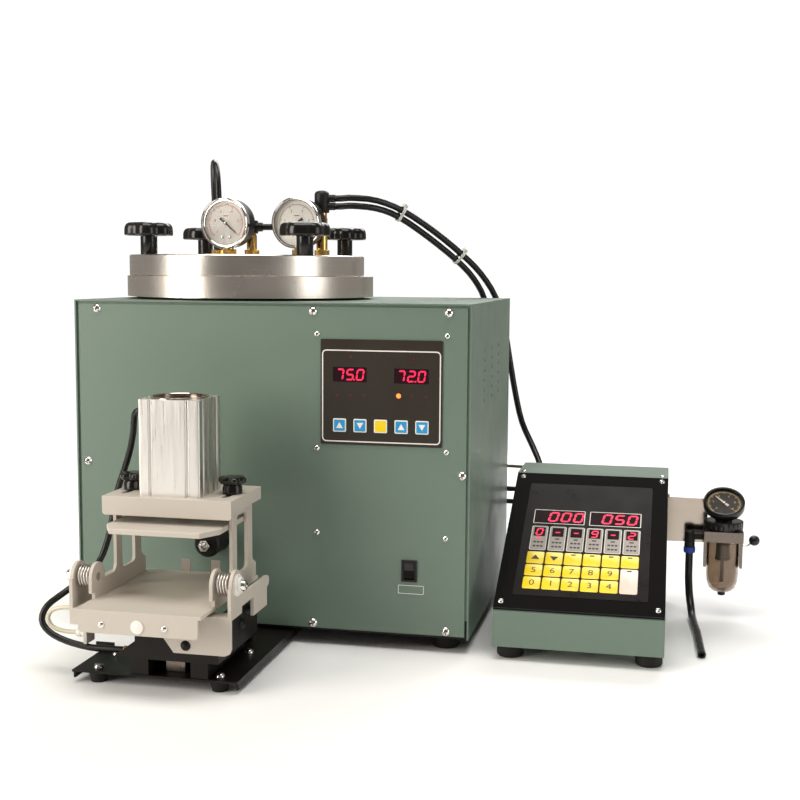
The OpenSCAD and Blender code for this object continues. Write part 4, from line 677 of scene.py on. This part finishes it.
b.lathe([(0, 91.5), (3.8, 91.5), (5.3, 90.2), (5.5, 88), (5.5, 80), (5.1, 79.6), (5.1, 78.6),
         (5.5, 78.2), (5.5, 73.2), (4.2, 73.2), (4.2, 80), (0, 80)], elbow, 0, 32)
b.lathe([(4.1, 73.2), (6.0, 73.2), (6.2, 72.6), (6.2, 68.4), (5.6, 67.2), (4.1, 67)], elbow, 2, 32)
b.piece("hose_fittings", [satin_plastic, rubber, ring_blue], "machine", "air_hose",
        "cables_and_fittings")

b = Build()
for z in (60, 38):
    b.lathe([(2.0, 10), (3.4, 10), (3.9, 9.4), (3.9, 6), (3.3, 5.6), (3.3, 4.6), (4, 4.4), (4, 0),
             (0, 0)], axes(C(-EAR_OUT, PORT_Y, z), Z, LEFT), 1, 28)
b.lathe([(3.0, 16), (3.6, 16), (4, 15.2), (4, 0), (0, 0)], axes(C(-21, -136, 26), Z, LEFT), 0, 28)
b.piece("clamp_hose_fittings", [brass, nylon], "carriage", "air_hose", "clamp_hoses")

# ---------------------------------------------------------------- sheet metal

for name in ("cabinet_shell", "front_panel", "rear_panel", "controller_case"):
    dress(name, paint_green, 0.5, 2)
dress("base_pan", paint_black, 0.3, 1)
for name in ("rubber_feet", "pot_seals"):
    paint(name, rubber)
paint("vacuum_pump", paint_grey)
paint("control_board", board_green)
paint("heater_band", band_metal)
dress("snap_in_housings", satin_plastic, 0.25, 1)
dress("power_rocker", plastic, 0.3, 2)

# ---------------------------------------------------------------- screws


def screw(b, at, r, h):
    """A domed head with a cross recess drawn as two black bars: painted shade standing for the
    recess.
    """
    dome = (r * r + h * h) / (2 * h)
    profile = [(0, -0.6), (r * 0.55, -0.6), (r * 0.98, -0.3), (r, 0)]
    for k in range(1, 7):
        z = h * k / 7
        profile.append((math.sqrt(dome * dome - (z - h + dome) ** 2), z))
    b.lathe(profile + [(0, h)], at, 0, 24)
    # The cross is two raised black bars inside the dome: painted shade where the recess would be dark
    for a in (20, 110):
        t = at @ Matrix.Rotation(math.radians(a), 4, "Z")
        b.prism([(-r * 0.5, -r * 0.1), (r * 0.5, -r * 0.1), (r * 0.5, r * 0.1),
                 (-r * 0.5, r * 0.1)], t, h * 0.72, h * 0.97 + 0.03, 1)


# Radius and height of a dome head
M5, M3 = (4.6, 3), (3, 2)
SLOPE_RISE, SLOPE_RUN = 98.3, 188
SLOPE = math.atan2(SLOPE_RISE, SLOPE_RUN)
SLOPE_LENGTH = math.hypot(SLOPE_RISE, SLOPE_RUN)


def on_slope(u, t, w=0.0):
    """A point on the controller's panel: u across, t up the slope, w above its face, in mm."""
    return P(CTRL_X + u, -7.8 + t * math.cos(SLOPE) - w * math.sin(SLOPE),
             51.2 + t * math.sin(SLOPE) + w * math.cos(SLOPE))


def slope_axes(u, t, w=0.0):
    return axes(on_slope(u, t, w), X, (0, -math.sin(SLOPE), math.cos(SLOPE)))


b = Build()
for x, z in ((23.3, 326), (246, 326), (377.8, 326), (10.9, 172.7), (392.1, 172.7), (23.3, 21.5),
             (246, 21.5), (377.8, 21.5)):
    screw(b, facing(P(x, FRONT_Y, z)), *M5)
for x in (FILM_X - 63.25, FILM_X + 63.25):
    for z in (304.4, 194.5, 111.8):
        screw(b, facing(P(x, FRONT_Y, z)), *M3)
for u in (6.5, 152.5):
    for t in (9, SLOPE_LENGTH - 6.5):
        screw(b, slope_axes(u, t), *M3)
for x in (CTRL_X + 6, CTRL_X + 153):
    screw(b, upright(P(x, 188.2, 149.5)), *M3)
for z in (REG_Z - 12, REG_Z + 20):
    screw(b, axes(P(585, 232, z), Z, X), *M3)
for x in (REG_X - 10, REG_X + 10):
    screw(b, axes(P(x, 222, REG_Z - 5.5), X, Y), *M3)
for x, y in ((-57, -146), (57, -146), (-57, -108), (59, -75)):
    screw(b, upright(C(x, y, 12)), 4.6, 4)
# The black on these screws is painted shade in their cross recesses
b.piece("dome_screws", [chrome, black_print_and_recess_shade], "machine", "bright_steel", "steel_screws")

# ---------------------------------------------------------------- displays

SEGMENTS = {"0": "abcdef", "2": "abged", "5": "afgcd", "7": "abc", "9": "abcdfg", "-": "g"}


def figure(b, char, at, x, y, w, h, mat):
    """One slanted seven-segment figure from x, y: t is half a bar's width, g the gap between bars."""
    t = h * 0.078
    g = 0.12
    lean = 0.16
    half = h / 2
    places = {"a": (0, h, w, h), "g": (0, half, w, half), "d": (0, 0, w, 0), "f": (0, half, 0, h),
              "b": (w, half, w, h), "e": (0, 0, 0, half), "c": (w, 0, w, half)}
    for s in SEGMENTS[char]:
        x0, y0, x1, y1 = places[s]
        if y0 == y1:
            pts = [(x0 + g, y0), (x0 + g + t, y0 + t), (x1 - g - t, y0 + t), (x1 - g, y0),
                   (x1 - g - t, y0 - t), (x0 + g + t, y0 - t)]
        else:
            pts = [(x0, y0 + g), (x0 + t, y0 + g + t), (x0 + t, y1 - g - t), (x0, y1 - g),
                   (x0 - t, y1 - g - t), (x0 - t, y0 + g + t)]
        b.prism([(x + px + py * lean, y + py) for px, py in pts[::-1]], at, 0.06, 0.12, mat)


def reading(b, chars, at, x, y, w, h, pitch, mat, dot_after=None):
    """Figures from the lower left corner of the first one at x, y."""
    for i, ch in enumerate(chars):
        figure(b, ch, at, x + pitch * i, y, w, h, mat)
        if dot_after == i:
            dot_x = x + pitch * i + w + (pitch - w) * 0.42
            b.prism(circle(h * 0.085, 10, dot_x, y), at, 0.06, 0.12, mat)


# Display film on the cabinet: drawn on its face, in x and z
film_at = facing(P(0, FILM_Y, 0))
b = Build()
b.prism(rounded_rect(254.25, 372.45, 199.05, 299.95, 0.8, 2), film_at, -1.1, 0.0, 0)
b.strip(rounded_rect(256.2, 370.6, 202.2, 289.4, 3.6, 6), 1.1, film_at, 0.0, 0.05, 1, True)
for x0, x1, z0, z1 in ((266.4, 299.6, 259.4, 273.6), (326.2, 359.6, 259.0, 273.2)):
    b.prism(rounded_rect(x0, x1, z0, z1, 0.6, 2), film_at, 0.0, 0.04, 2)
reading(b, "750", film_at, 269.6, 261.6, 6.0, 9.6, 9.9, 3, 1)
reading(b, "720", film_at, 329.3, 261.2, 6.0, 9.6, 9.9, 3, 1)
for x, z in ((284.0, 283.2), (344.4, 282.6), (270.7, 246.4), (283.5, 246.5), (296.6, 246.6),
             (343.6, 247), (357.0, 247)):
    b.prism(circle(1.3, 12, x, z), film_at, 0.0, 0.1, 4)
b.lathe([(2.3, 0), (2.2, 0.2), (1.6, 0.5), (0, 0.65)], facing(P(330.7, FILM_Y, 247.2)), 5, 24)
b.piece("display_film", [film, print_white, window, digit, lamp_off, lamp_on], "machine",
        "dark_film", "control_overlay")

# The five keys, with an arrow up or down or none
KEY_PITCH, KEY_Y, KEY_Z = 20.1, -1, 217.7
for i, (name, colour, arrow) in enumerate((
        ("heat_up_key", key_blue, 1), ("heat_down_key", key_blue, -1), ("mode_key", key_yellow, 0),
        ("time_up_key", key_blue, 1), ("time_down_key", key_blue, -1))):
    b = Build()
    key_at = facing(P(FILM_X + (i - 2) * KEY_PITCH, KEY_Y, KEY_Z))
    b.prism(rounded_rect(-6.4, 6.4, -6.4, 6.4, 1.2, 4), key_at, -3.2, 0, 1, 0.35)
    b.prism(rounded_rect(-5.4, 5.4, -5.4, 5.4, 0.7, 3), key_at, -0.2, 0.05, 0)
    if arrow:
        b.prism([(-3.3, -2.8 * arrow), (3.3, -2.8 * arrow), (0, 3.0 * arrow)][::arrow], key_at,
                0.0, 0.1, 1)
    b.piece(name + "_cap", [colour, print_white], name, slot_of[name], name)

# The bare plate under the switch, and the switch's own marks
front_at = facing(P(0, FRONT_Y, 0))
b = Build()
b.prism(rounded_rect(330.4, 357.1, 55.6, 65.6, 0.8, 3), front_at, -0.1, 0.35, 1)
b.strip(rounded_rect(331.4, 356.1, 56.6, 64.6, 0.5, 2), 0.5, front_at, 0.3, 0.42, 0, True)
b.piece("switch_plate", [print_white, paint_green], "machine", "green_paint")
b = Build()
rock = Matrix.Translation(P(342, 5, 78.8)) @ Matrix.Rotation(math.radians(-7), 4, "X")
up_face = rock @ axes(Vector((0, -0.0059, 0.0045)), X, (0, -1, -0.19))
low_face = rock @ axes(Vector((0, -0.0059, -0.0045)), X, (0, -1, 0.19))
b.prism([(-0.35, -1.5), (0.35, -1.5), (0.35, 1.5), (-0.35, 1.5)], up_face, 0.0, 0.12)
b.strip(circle(1.5, 16), 0.5, low_face, 0.0, 0.12, 0, True)
b.piece("switch_marks", [print_white], "power_rocker", "black_plastic")

# Controller panel: drawn on the slope, in u and t, with heights above the panel's face
FILM_TOP, KEY_TOP, COLUMN = 0.3, 0.62, 18.3
b = Build()
face = slope_axes(0, 0)
b.prism(rounded_rect(0.2, 158.8, 0.2, SLOPE_LENGTH - 0.4, 0.6, 2), face, -2.7, 0, 0)
b.prism(rounded_rect(16.5, 143, 19, 193.5, 2, 4), face, 0, FILM_TOP, 1)
for x0, x1 in ((25, 77), (81.5, 133.2)):
    b.prism(rounded_rect(x0 + 0.6, x1 - 0.6, 127.6, 148.9, 0.5, 2), face, FILM_TOP, 0.34, 2)
    b.strip(rounded_rect(x0 + 0.5, x1 - 0.5, 127.5, 149.0, 0.6, 2), 0.8, face, FILM_TOP, 0.37, 3,
            True)
for digits, u in (("000", 40.4), ("050", 94.4)):
    reading(b, digits, slope_axes(0, 0, 0.28), u, 131.6, 7.8, 13.4, 12.6, 4)
for i, ch in enumerate("0--9-2"):
    x0 = 25.2 + COLUMN * i
    b.prism(rounded_rect(x0, x0 + 16.2, 85.2, 122.6, 1.6, 4), face, FILM_TOP, 0.40, 5)
    b.strip(rounded_rect(x0 + 0.3, x0 + 15.9, 85.5, 122.3, 1.4, 4), 0.6, face, 0.38, 0.44, 3, True)
    b.prism(rounded_rect(x0 + 2.4, x0 + 13.8, 106.8, 120.6, 0.3, 1), face, 0.38, 0.45, 2)
    figure(b, ch, slope_axes(0, 0, 0.38), x0 + 4.6, 108.8, 5.4, 9.4, 4)
    b.prism(rounded_rect(x0 + 6, x0 + 10.2, 102.2, 104.2, 0.2, 1), face, 0.38, 0.45, 6 if i else 4)
    for t0 in (96.4, 90.2):
        for k in range(3):
            u = x0 + 3.2 + 3.5 * k
            b.prism(rounded_rect(u, u + 2.7, t0, t0 + 2.4, 0.3, 1), face, 0.38, 0.43, 7)
# The keys: u and d stand for arrows up and down, a point for a small bar
for t0, t1, labels in ((64.8, 82.6, "ud...."), (46.8, 63.2, "56789"), (28.2, 45.2, "01234")):
    for i, ch in enumerate(labels):
        x0 = 24.4 + COLUMN * i
        mid = x0 + 8.4
        b.prism(rounded_rect(x0, x0 + 16.8, t0, t1, 1.8, 4), face, FILM_TOP, KEY_TOP, 8, 0.3)
        if ch.isdigit():
            b.text(ch, 8.2, slope_axes(mid, (t0 + t1) / 2, 0.64), 6)
            continue
        if ch == "u":
            mark = [(mid - 4.2, t0 + 6.4), (mid + 4.2, t0 + 6.4), (mid, t0 + 12.8)]
        elif ch == "d":
            mark = [(mid, t0 + 5.0), (mid + 4.2, t0 + 11.4), (mid - 4.2, t0 + 11.4)]
        else:
            mark = rounded_rect(mid - 2.3, mid + 2.3, t1 - 3.6, t1 - 1.8, 0.2, 1)
        b.prism(mark, face, 0.6, 0.68, 6)
b.prism(rounded_rect(115.9, 132.7, 28.2, 63.2, 2, 4), face, FILM_TOP, KEY_TOP, 9, 0.3)
b.prism(rounded_rect(122, 126.6, 59.4, 61.2, 0.2, 1), face, 0.6, 0.68, 6)
b.piece("keypad_panel", [acrylic, film_black, window, print_white, digit, print_grey, black_print_and_recess_shade,
                         black_print_and_recess_shade, key_yellow, key_pink], "machine", "black_acrylic",
        "controller_panel")

# ---------------------------------------------------------------- pot, lid and knobs

dress("wax_pot", pot_metal, 0.7, 2)
dress("lid", lid_metal, 0.8, 3)
dress("nozzle_housing", satin_plastic, 0.4, 2)
dress("nozzle_tip", chrome, 0.2, 1)


def star(lobes, depth, n):
    """How far the k-th of n points dips between a star knob's lobes."""
    return lambda k: depth * (0.5 - 0.5 * math.cos(2 * math.pi * lobes * k / n)) ** 1.6


for k in range(4):
    a = STUD_ANGLE + 90 * k
    at = axes(P(*polar(STUD_R, a, POT_X, POT_Y), LID_Z), (*polar(1, a), 0), Z)
    b = Build()
    b.lathe([(0, -34), (4, -34), (4, 0)], at, 1, 40)
    b.lathe([(4, 0), (8.2, 0), (8.5, 0.4), (8.5, 18.4), (9.4, 19.2)], at)
    b.waved([(9, 19.0, 0), (21, 19.0, 0.6), (24.4, 19.15, 0.9), (25.3, 19.8, 1), (25.5, 21, 1),
             (25.4, 25.5, 1), (24.8, 28.4, 1), (23.2, 30.8, 0.95), (20.6, 32.0, 0.8),
             (16, 32.4, 0.45), (9, 32.5, 0.1)], star(6, 3.2, 96), 96, at)
    node = f"lid_knob_{k + 1}"
    b.piece(f"star_knob_{k + 1}", [plastic, chrome], node, "black_plastic", node, 45)

# ---------------------------------------------------------------- gauges

TURN = Matrix.Rotation(math.radians(-5), 4, "Z")
DIAL_FACE = 21.0
FIRST_MARK, LAST_MARK = 222, -42


def gauge_at(x):
    place = Matrix.Translation(P(x, STEM_Y, GAUGE_Z)) @ TURN
    return place @ axes(Vector((0, 0.0135, 0)), X, FRONT)


def dial_print(b, at, face, r, start, stop, every, words, words_r, size, mat):
    """A dial's fifty marks, their arc and the plain figures beside them."""
    for k in range(51):
        a = start + (stop - start) * k / 50
        inner, width = (r - 2.6, 0.55) if k % every == 0 else (r - 1.4, 0.32)
        b.strip([polar(inner, a), polar(r, a)], width, at, face, face + 0.05, mat)
    arc = [polar(r, start + (stop - start) * k / 60) for k in range(61)]
    b.strip(arc, 0.36, at, face, face + 0.05, mat)
    for i, word in enumerate(words):
        a = start + (stop - start) * i / (len(words) - 1)
        spot = Matrix.Translation(Vector((*polar(words_r, a), face + 0.05)) / 1000)
        b.text(word, size, at @ spot, mat, 0.06)


def dial_gauge(name, x, node, colour, words):
    at = gauge_at(x)
    b = Build()
    b.lathe([(0, 0), (23, 0), (25, 1.2), (25.5, 3), (25.5, 18), (25.4, 18.6)], at, 0, 72)
    b.lathe([(25.4, 18.4), (26.4, 18.8), (27, 19.8), (27, 24.6), (26.6, 26.0), (25.8, 26.9),
             (25.0, 26.6), (24.5, 25.6), (24.5, 24.0), (23.5, 24.0), (23.5, 21.0)], at, 1, 72)
    b.lathe([(0, 20.4), (23.5, 20.4), (23.5, DIAL_FACE), (0, DIAL_FACE)], at, 2, 72)
    dial_print(b, at, DIAL_FACE, 19.5, FIRST_MARK, LAST_MARK, 10, words, 13.6, 3.0, 3)
    b.prism(rounded_rect(-3, 3, 7.2, 8.0, 0.2, 1), at, DIAL_FACE, DIAL_FACE + 0.05, 3)
    b.lathe([(0, 6), (5, 6), (5, 12), (0, 12)], upright(P(x, STEM_Y, LID_Z)), 4, 32)
    b.piece(name, [paint_black, chrome, dial_white, colour, brass], "lid", "gauge_steel", node, 40)


dial_gauge("vacuum_dial_gauge", VACUUM_X, "vacuum_gauge", print_red,
           ("-1", "-.8", "-.6", "-.4", "-.2", "0"))
dial_gauge("pressure_dial_gauge", PRESSURE_X, "pressure_gauge", black_print_and_recess_shade,
           ("0", "1", "2", "3", "4", "5"))
b = Build()
for x in (-4.2, 4.6):
    spot = gauge_at(VACUUM_X) @ Matrix.Translation(Vector((x, -14.6, DIAL_FACE)) / 1000)
    b.lathe([(1.5, 0), (1.5, 0.35), (1.1, 0.6), (0, 0.7)], spot, 0, 20)
b.piece("dial_screws", [chrome], "lid", "gauge_steel")


def needle_piece(name, node, at, angle, length, tail, material):
    b = Build()
    spin = at @ Matrix.Rotation(math.radians(angle), 4, "Z")
    b.prism([(-tail, -1.5), (-1, -0.9), (length * 0.35, -0.65), (length, -0.2), (length, 0.2),
             (length * 0.35, 0.65), (-1, 0.9), (-tail, 1.5)], spin, 0.7, 1.2)
    b.lathe([(2, 0.6), (2, 1.5), (1.5, 1.9), (0, 2.0)], at, 1, 28)
    b.piece(name, [material, zinc], node, slot_of[node], node)


for name, node, x, angle in (("vacuum_pointer", "vacuum_needle", VACUUM_X, -41),
                             ("pressure_pointer", "pressure_needle", PRESSURE_X, 214)):
    needle_piece(name, node, gauge_at(x) @ Matrix.Translation((0, 0, DIAL_FACE / 1000)), angle,
                 17, 8, black_print_and_recess_shade)
paint("gauge_glasses", glass)


def stand_at(x, y):
    return upright(P(x, y, LID_Z))


# Brass and black fittings on the lid
b = Build()
for x, y in ((VACUUM_X, STEM_Y), (PRESSURE_X, STEM_Y), (PIPES[0], PIPE_Y), (PIPES[1], PIPE_Y),
             (UNION_X, UNION_Y), (VENT_X, PIPE_Y)):
    b.prism(circle(8.4, 6), stand_at(x, y), 0, 6.5, 0, 0.5)
for x in PIPES:
    b.lathe([(5.5, 6), (5.5, 22), (4.6, 23), (4.6, 25)], stand_at(x, PIPE_Y), 0, 32)
    b.lathe([(0, 24), (6.4, 24), (7, 24.8), (7, 37), (6.2, 38), (0, 38)], stand_at(x, PIPE_Y), 1,
            36)
for x, way in zip(PIPES, (X, LEFT)):
    b.lathe([(0, 0), (5, 0), (5, 11.2), (4.6, 12), (3.5, 12), (3.5, 9), (0, 9)],
            axes(P(x, PIPE_Y, PIPE_Z), Z, way), 1, 32)
union = stand_at(UNION_X, UNION_Y)
b.lathe([(6, 6), (6, 40), (5.4, 41), (5.4, 47)], union, 0, 36)
b.lathe([(0, 46), (7.4, 46), (8, 47), (8, 65), (7.5, 67), (6, 68.6), (3.4, 69.6), (0, 70)], union,
        1, 36)
for z in (441.2, 432.8):
    b.lathe([(0, 0), (4.05, 0), (4.05, 14.4), (3.7, 15), (3.4, 15), (3.4, 12), (0, 12)],
            axes(P(UNION_X, UNION_Y, z), Z, X), 1, 32)
b.lathe([(5, 6), (5, 12.4), (4.4, 12.8), (4.4, 13.6), (5, 14), (5, 17.4), (4.6, 18), (3.5, 18),
         (3.5, 15), (0, 15)], stand_at(VENT_X, PIPE_Y), 1, 32)
b.piece("lid_pipe_fittings", [brass, satin_plastic], "lid", "brass", "lid_fittings", 40)

# ---------------------------------------------------------------- clamp

dress("clamp_base", paint_black, 0.4, 2)
dress("guide_rods", paint_black, 0.4, 2)
dress("advance_cylinder", dark_alloy, 0.4, 2)
dress("carriage", paint_black, 0.4, 2)
dress("lower_frame", paint_beige, 0.7, 3)
dress("clamp_frame", paint_beige, 0.7, 3)
dress("top_tray", paint_beige, 0.7, 3)
dress("press_plate", paint_beige, 0.8, 3)
dress("press_rod", chrome, 0.4, 2)
dress("press_cylinder", extruded, 0.4, 2)

for side, node in ((-1, "tray_knob_left"), (1, "tray_knob_right")):
    b = Build()
    at = upright(C(side * 48, -86, TRAY_Z))
    b.lathe([(0, -8), (2.85, -8), (2.85, 0.15), (9, 0.15), (9, 6), (7.4, 9.2)], at, 0, 36)
    b.waved([(7, 9, 0), (10.8, 9.3, 0.5), (12.4, 10.3, 0.9), (13, 12, 1), (12.8, 14, 1),
             (11.6, 15.4, 0.8), (8.4, 15.9, 0.4), (5, 16, 0)], star(6, 3.2, 72), 72, at)
    b.piece(node + "_cap", [plastic], node, "black_plastic", node, 45)

b = Build()
for s in (-1, 1):
    at = axes(C(s * EAR_OUT, PIVOT_Y, PIVOT_Z), Y, (s, 0, 0))
    b.lathe([(4, -20.4), (3.4, -20.4), (0, -20.4)], at, 0, 24)
    b.lathe([(4, -20.4), (4, 0)], at, 0, 32)
    b.lathe([(4, 0), (9.6, 0), (9.6, 1.7), (9.2, 2.1), (7.3, 2.1), (7.3, 4.2), (6.9, 4.6),
             (4, 4.6)], at, 1)
    b.lathe([(4, 4.6), (4.8, 4.6), (4.9, 7.0), (4.4, 8.3), (2.5, 9.2), (2.2, 9.2), (2.2, 7.0),
             (0, 7.0)], at, 0, 40)
b.piece("pivot_bolt_stacks", [chrome, nylon], "carriage", "bright_steel", "pivot_bolts", 40)

# Pivot springs: even coils with straight ends against the ears
TURNS, STEPS, WIRE, PITCH, COIL = 4, 24, 1.15, 2.6, 9.0
for s, x0, name in ((-1, -EAR_IN, "pivot_spring_left"), (1, HEAD, "pivot_spring_right")):
    line = [C(x0, PIVOT_Y + COIL, PIVOT_Z), C(x0 + 1, PIVOT_Y + COIL, PIVOT_Z)]
    for i in range(STEPS * TURNS + 1):
        line.append(C(x0 + 2 + i * PITCH / STEPS, *polar(COIL, 360 * i / STEPS, PIVOT_Y, PIVOT_Z)))
    line += [C(x0 + 13.4, PIVOT_Y + COIL, PIVOT_Z), C(x0 + 14.4, PIVOT_Y + COIL, PIVOT_Z)]
    spring = tube(name, line, WIRE / 1000, spring_steel, "carriage", 12, X, X)
    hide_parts("pivot_springs")

# Ring and cap in the press cylinder's mouth
b = Build()
top = upright(C(0, -90.5, 250))
b.lathe([(26.4, -0.2), (26.4, 1.0), (25.8, 1.5), (24.5, 1.5), (23.9, 0.9), (23.9, -3.0)], top, 0,
        72)
b.lathe([(23.9, -2.9), (15, -2.9), (14, -2.4), (6, -2.4), (5, -2.9), (0, -2.9)], top, 1)
b.piece("cylinder_mouth_ring", [zinc, dark_alloy], "clamp_head", "aluminium", smooth=40)

# White round pad and two rivets on the table's front flange
b = Build()
b.lathe([(0, 1.3), (5.0, 1.25), (5.6, 1.0), (5.8, 0.5), (5.8, -0.4)],
        facing(C(0, FLANGE_Y, FLANGE_Z)), 0, 40)
for x in (-33, 24):
    b.lathe([(0, 1.75), (1.6, 1.6), (2.8, 0.9), (3.15, 0.1), (3.15, -0.3)],
            facing(C(x, FLANGE_Y, FLANGE_Z)), 1, 32)
b.piece("table_flange_trim", [print_white, chrome], "clamp_head", "beige_paint", smooth=40)

# ---------------------------------------------------------------- filter regulator

dress("regulator_bracket", zinc, 0.3, 1)
dress("regulator_body", dark_alloy, 0.8, 3)
dress("filter_element", felt, 0.3, 1)
TILT = math.radians(35)
DIAL_Z = REG_Z + 30.4
WINDOW_FACE = -4.0

b = Build()
knob_at = upright(P(REG_X, REG_Y, REG_Z))
b.waved([(19.5, 1.0, 0), (20.2, 1.4, 1), (20.5, 2.2, 1), (20.5, 8.6, 1), (20.0, 9.4, 1),
         (18.6, 9.6, 0)], lambda k: 0.55 * (k // 3 % 2), 144, knob_at, capped=False)
b.lathe([(6.1, 9.6), (18.6, 9.6)], knob_at, 0, 144)
b.lathe([(6.1, 1.0), (19.5, 1.0)], knob_at, 0, 144)
b.lathe([(6.1, 1.0), (6.1, 9.6)], knob_at)
b.piece("regulator_hand_knob", [plastic], "regulator_knob", "black_plastic", "regulator_knob", 30)

dial_at = axes(P(REG_X, REG_Y, DIAL_Z), X, (0, -math.sin(TILT), math.cos(TILT)))
b = Build()
b.lathe([(0, -10), (19.5, -10), (21.0, -9.2), (21.5, -7.8), (21.5, -1.6), (21.1, -0.5), (20.2, 0),
         (19.4, -0.2), (18.9, -1.0), (18.9, -4)], dial_at, 0, 72)
b.lathe([(0, -4.4), (18.9, -4.4), (18.9, WINDOW_FACE), (0, WINDOW_FACE)], dial_at, 1, 72)
dial_print(b, dial_at, WINDOW_FACE, 16.6, 225, -45, 5, ("0", "2", "4", "6", "8", "10"), 11.2, 2.6,
           2)
b.lathe([(0, 10), (9, 10), (9, 15), (8, 17), (8, 18.5), (0, 18.5)], knob_at)
b.lathe([(0, -17), (7.5, -17), (9, -10), (0, -10)], dial_at)
b.piece("regulator_dial_gauge", [plastic, dial_black, print_gold], "machine", "black_plastic",
        "regulator_gauge", 40)
needle_piece("regulator_pointer", "regulator_needle",
             dial_at @ Matrix.Translation((0, 0, WINDOW_FACE / 1000)), 133, 13, 6, print_white)
b = Build()
b.lathe([(0, -1.9), (18.8, -1.9), (18.8, -1.1), (14, -0.75), (0, -0.6)], dial_at, 0, 64)
b.piece("regulator_dial_window", [glass], "machine", "glass", smooth=40)

b = Build()
bowl_at = upright(P(REG_X, REG_Y, 0))
b.lathe([(0, 27), (6, 27), (10.5, 28.6), (14, 32.4), (15.9, 38.6), (16.7, 47), (16.7, 80),
         (16.2, 83.2), (14.8, 83.2), (14.8, 47), (14.0, 40.4), (12.2, 35.2), (9.6, 31), (6, 29.2),
         (0, 29.2)], bowl_at, 0, 64)
b.lathe([(0, 23), (3.4, 23), (4, 23.6), (4, 27.4), (0, 27.4)], bowl_at, 1, 32)
b.piece("clear_filter_bowl", [bowl_clear, satin_plastic], "machine", "smoked_bowl", "filter_bowl",
        45)

# Shut-off lever: a bent rod and its ball
LEVER_X = REG_X + 20
lever_line = [P(LEVER_X + x, REG_Y, z) for x, z in ((-3, 77.4), (3, 77.4), (6, 77.7), (8, 79.4),
                                                    (11.4, 83.0))]
lever = tube("lever_rod", curve_points(lever_line, 5), 0.0012, steel, "shutoff_lever",
             12, X)
b = Build()
ball = [polar(5.6, a) for a in range(-80, 81, 10)]
b.lathe([(0, -5.6)] + ball + [(0, 5.6)], axes(P(LEVER_X + 12, REG_Y, 83.4), Y, (1, 0, 1)), 0, 36)
b.piece("lever_ball", [plastic], "shutoff_lever", "black_plastic", "shutoff_lever", 60)
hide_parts("shutoff_lever")

# ---------------------------------------------------------------- floor

floor_mesh = bpy.data.meshes.new("floor")
rim = [(x, y, 0) for x, y in circle(1.3, 72)]
floor_mesh.from_pydata(rim, [], [tuple(range(72))])
floor = obj("floor", floor_mesh,
            coated("floor_white", (0.93, 0.93, 0.92), 0.7, grain=40, strength=0.02, vary=0.01))
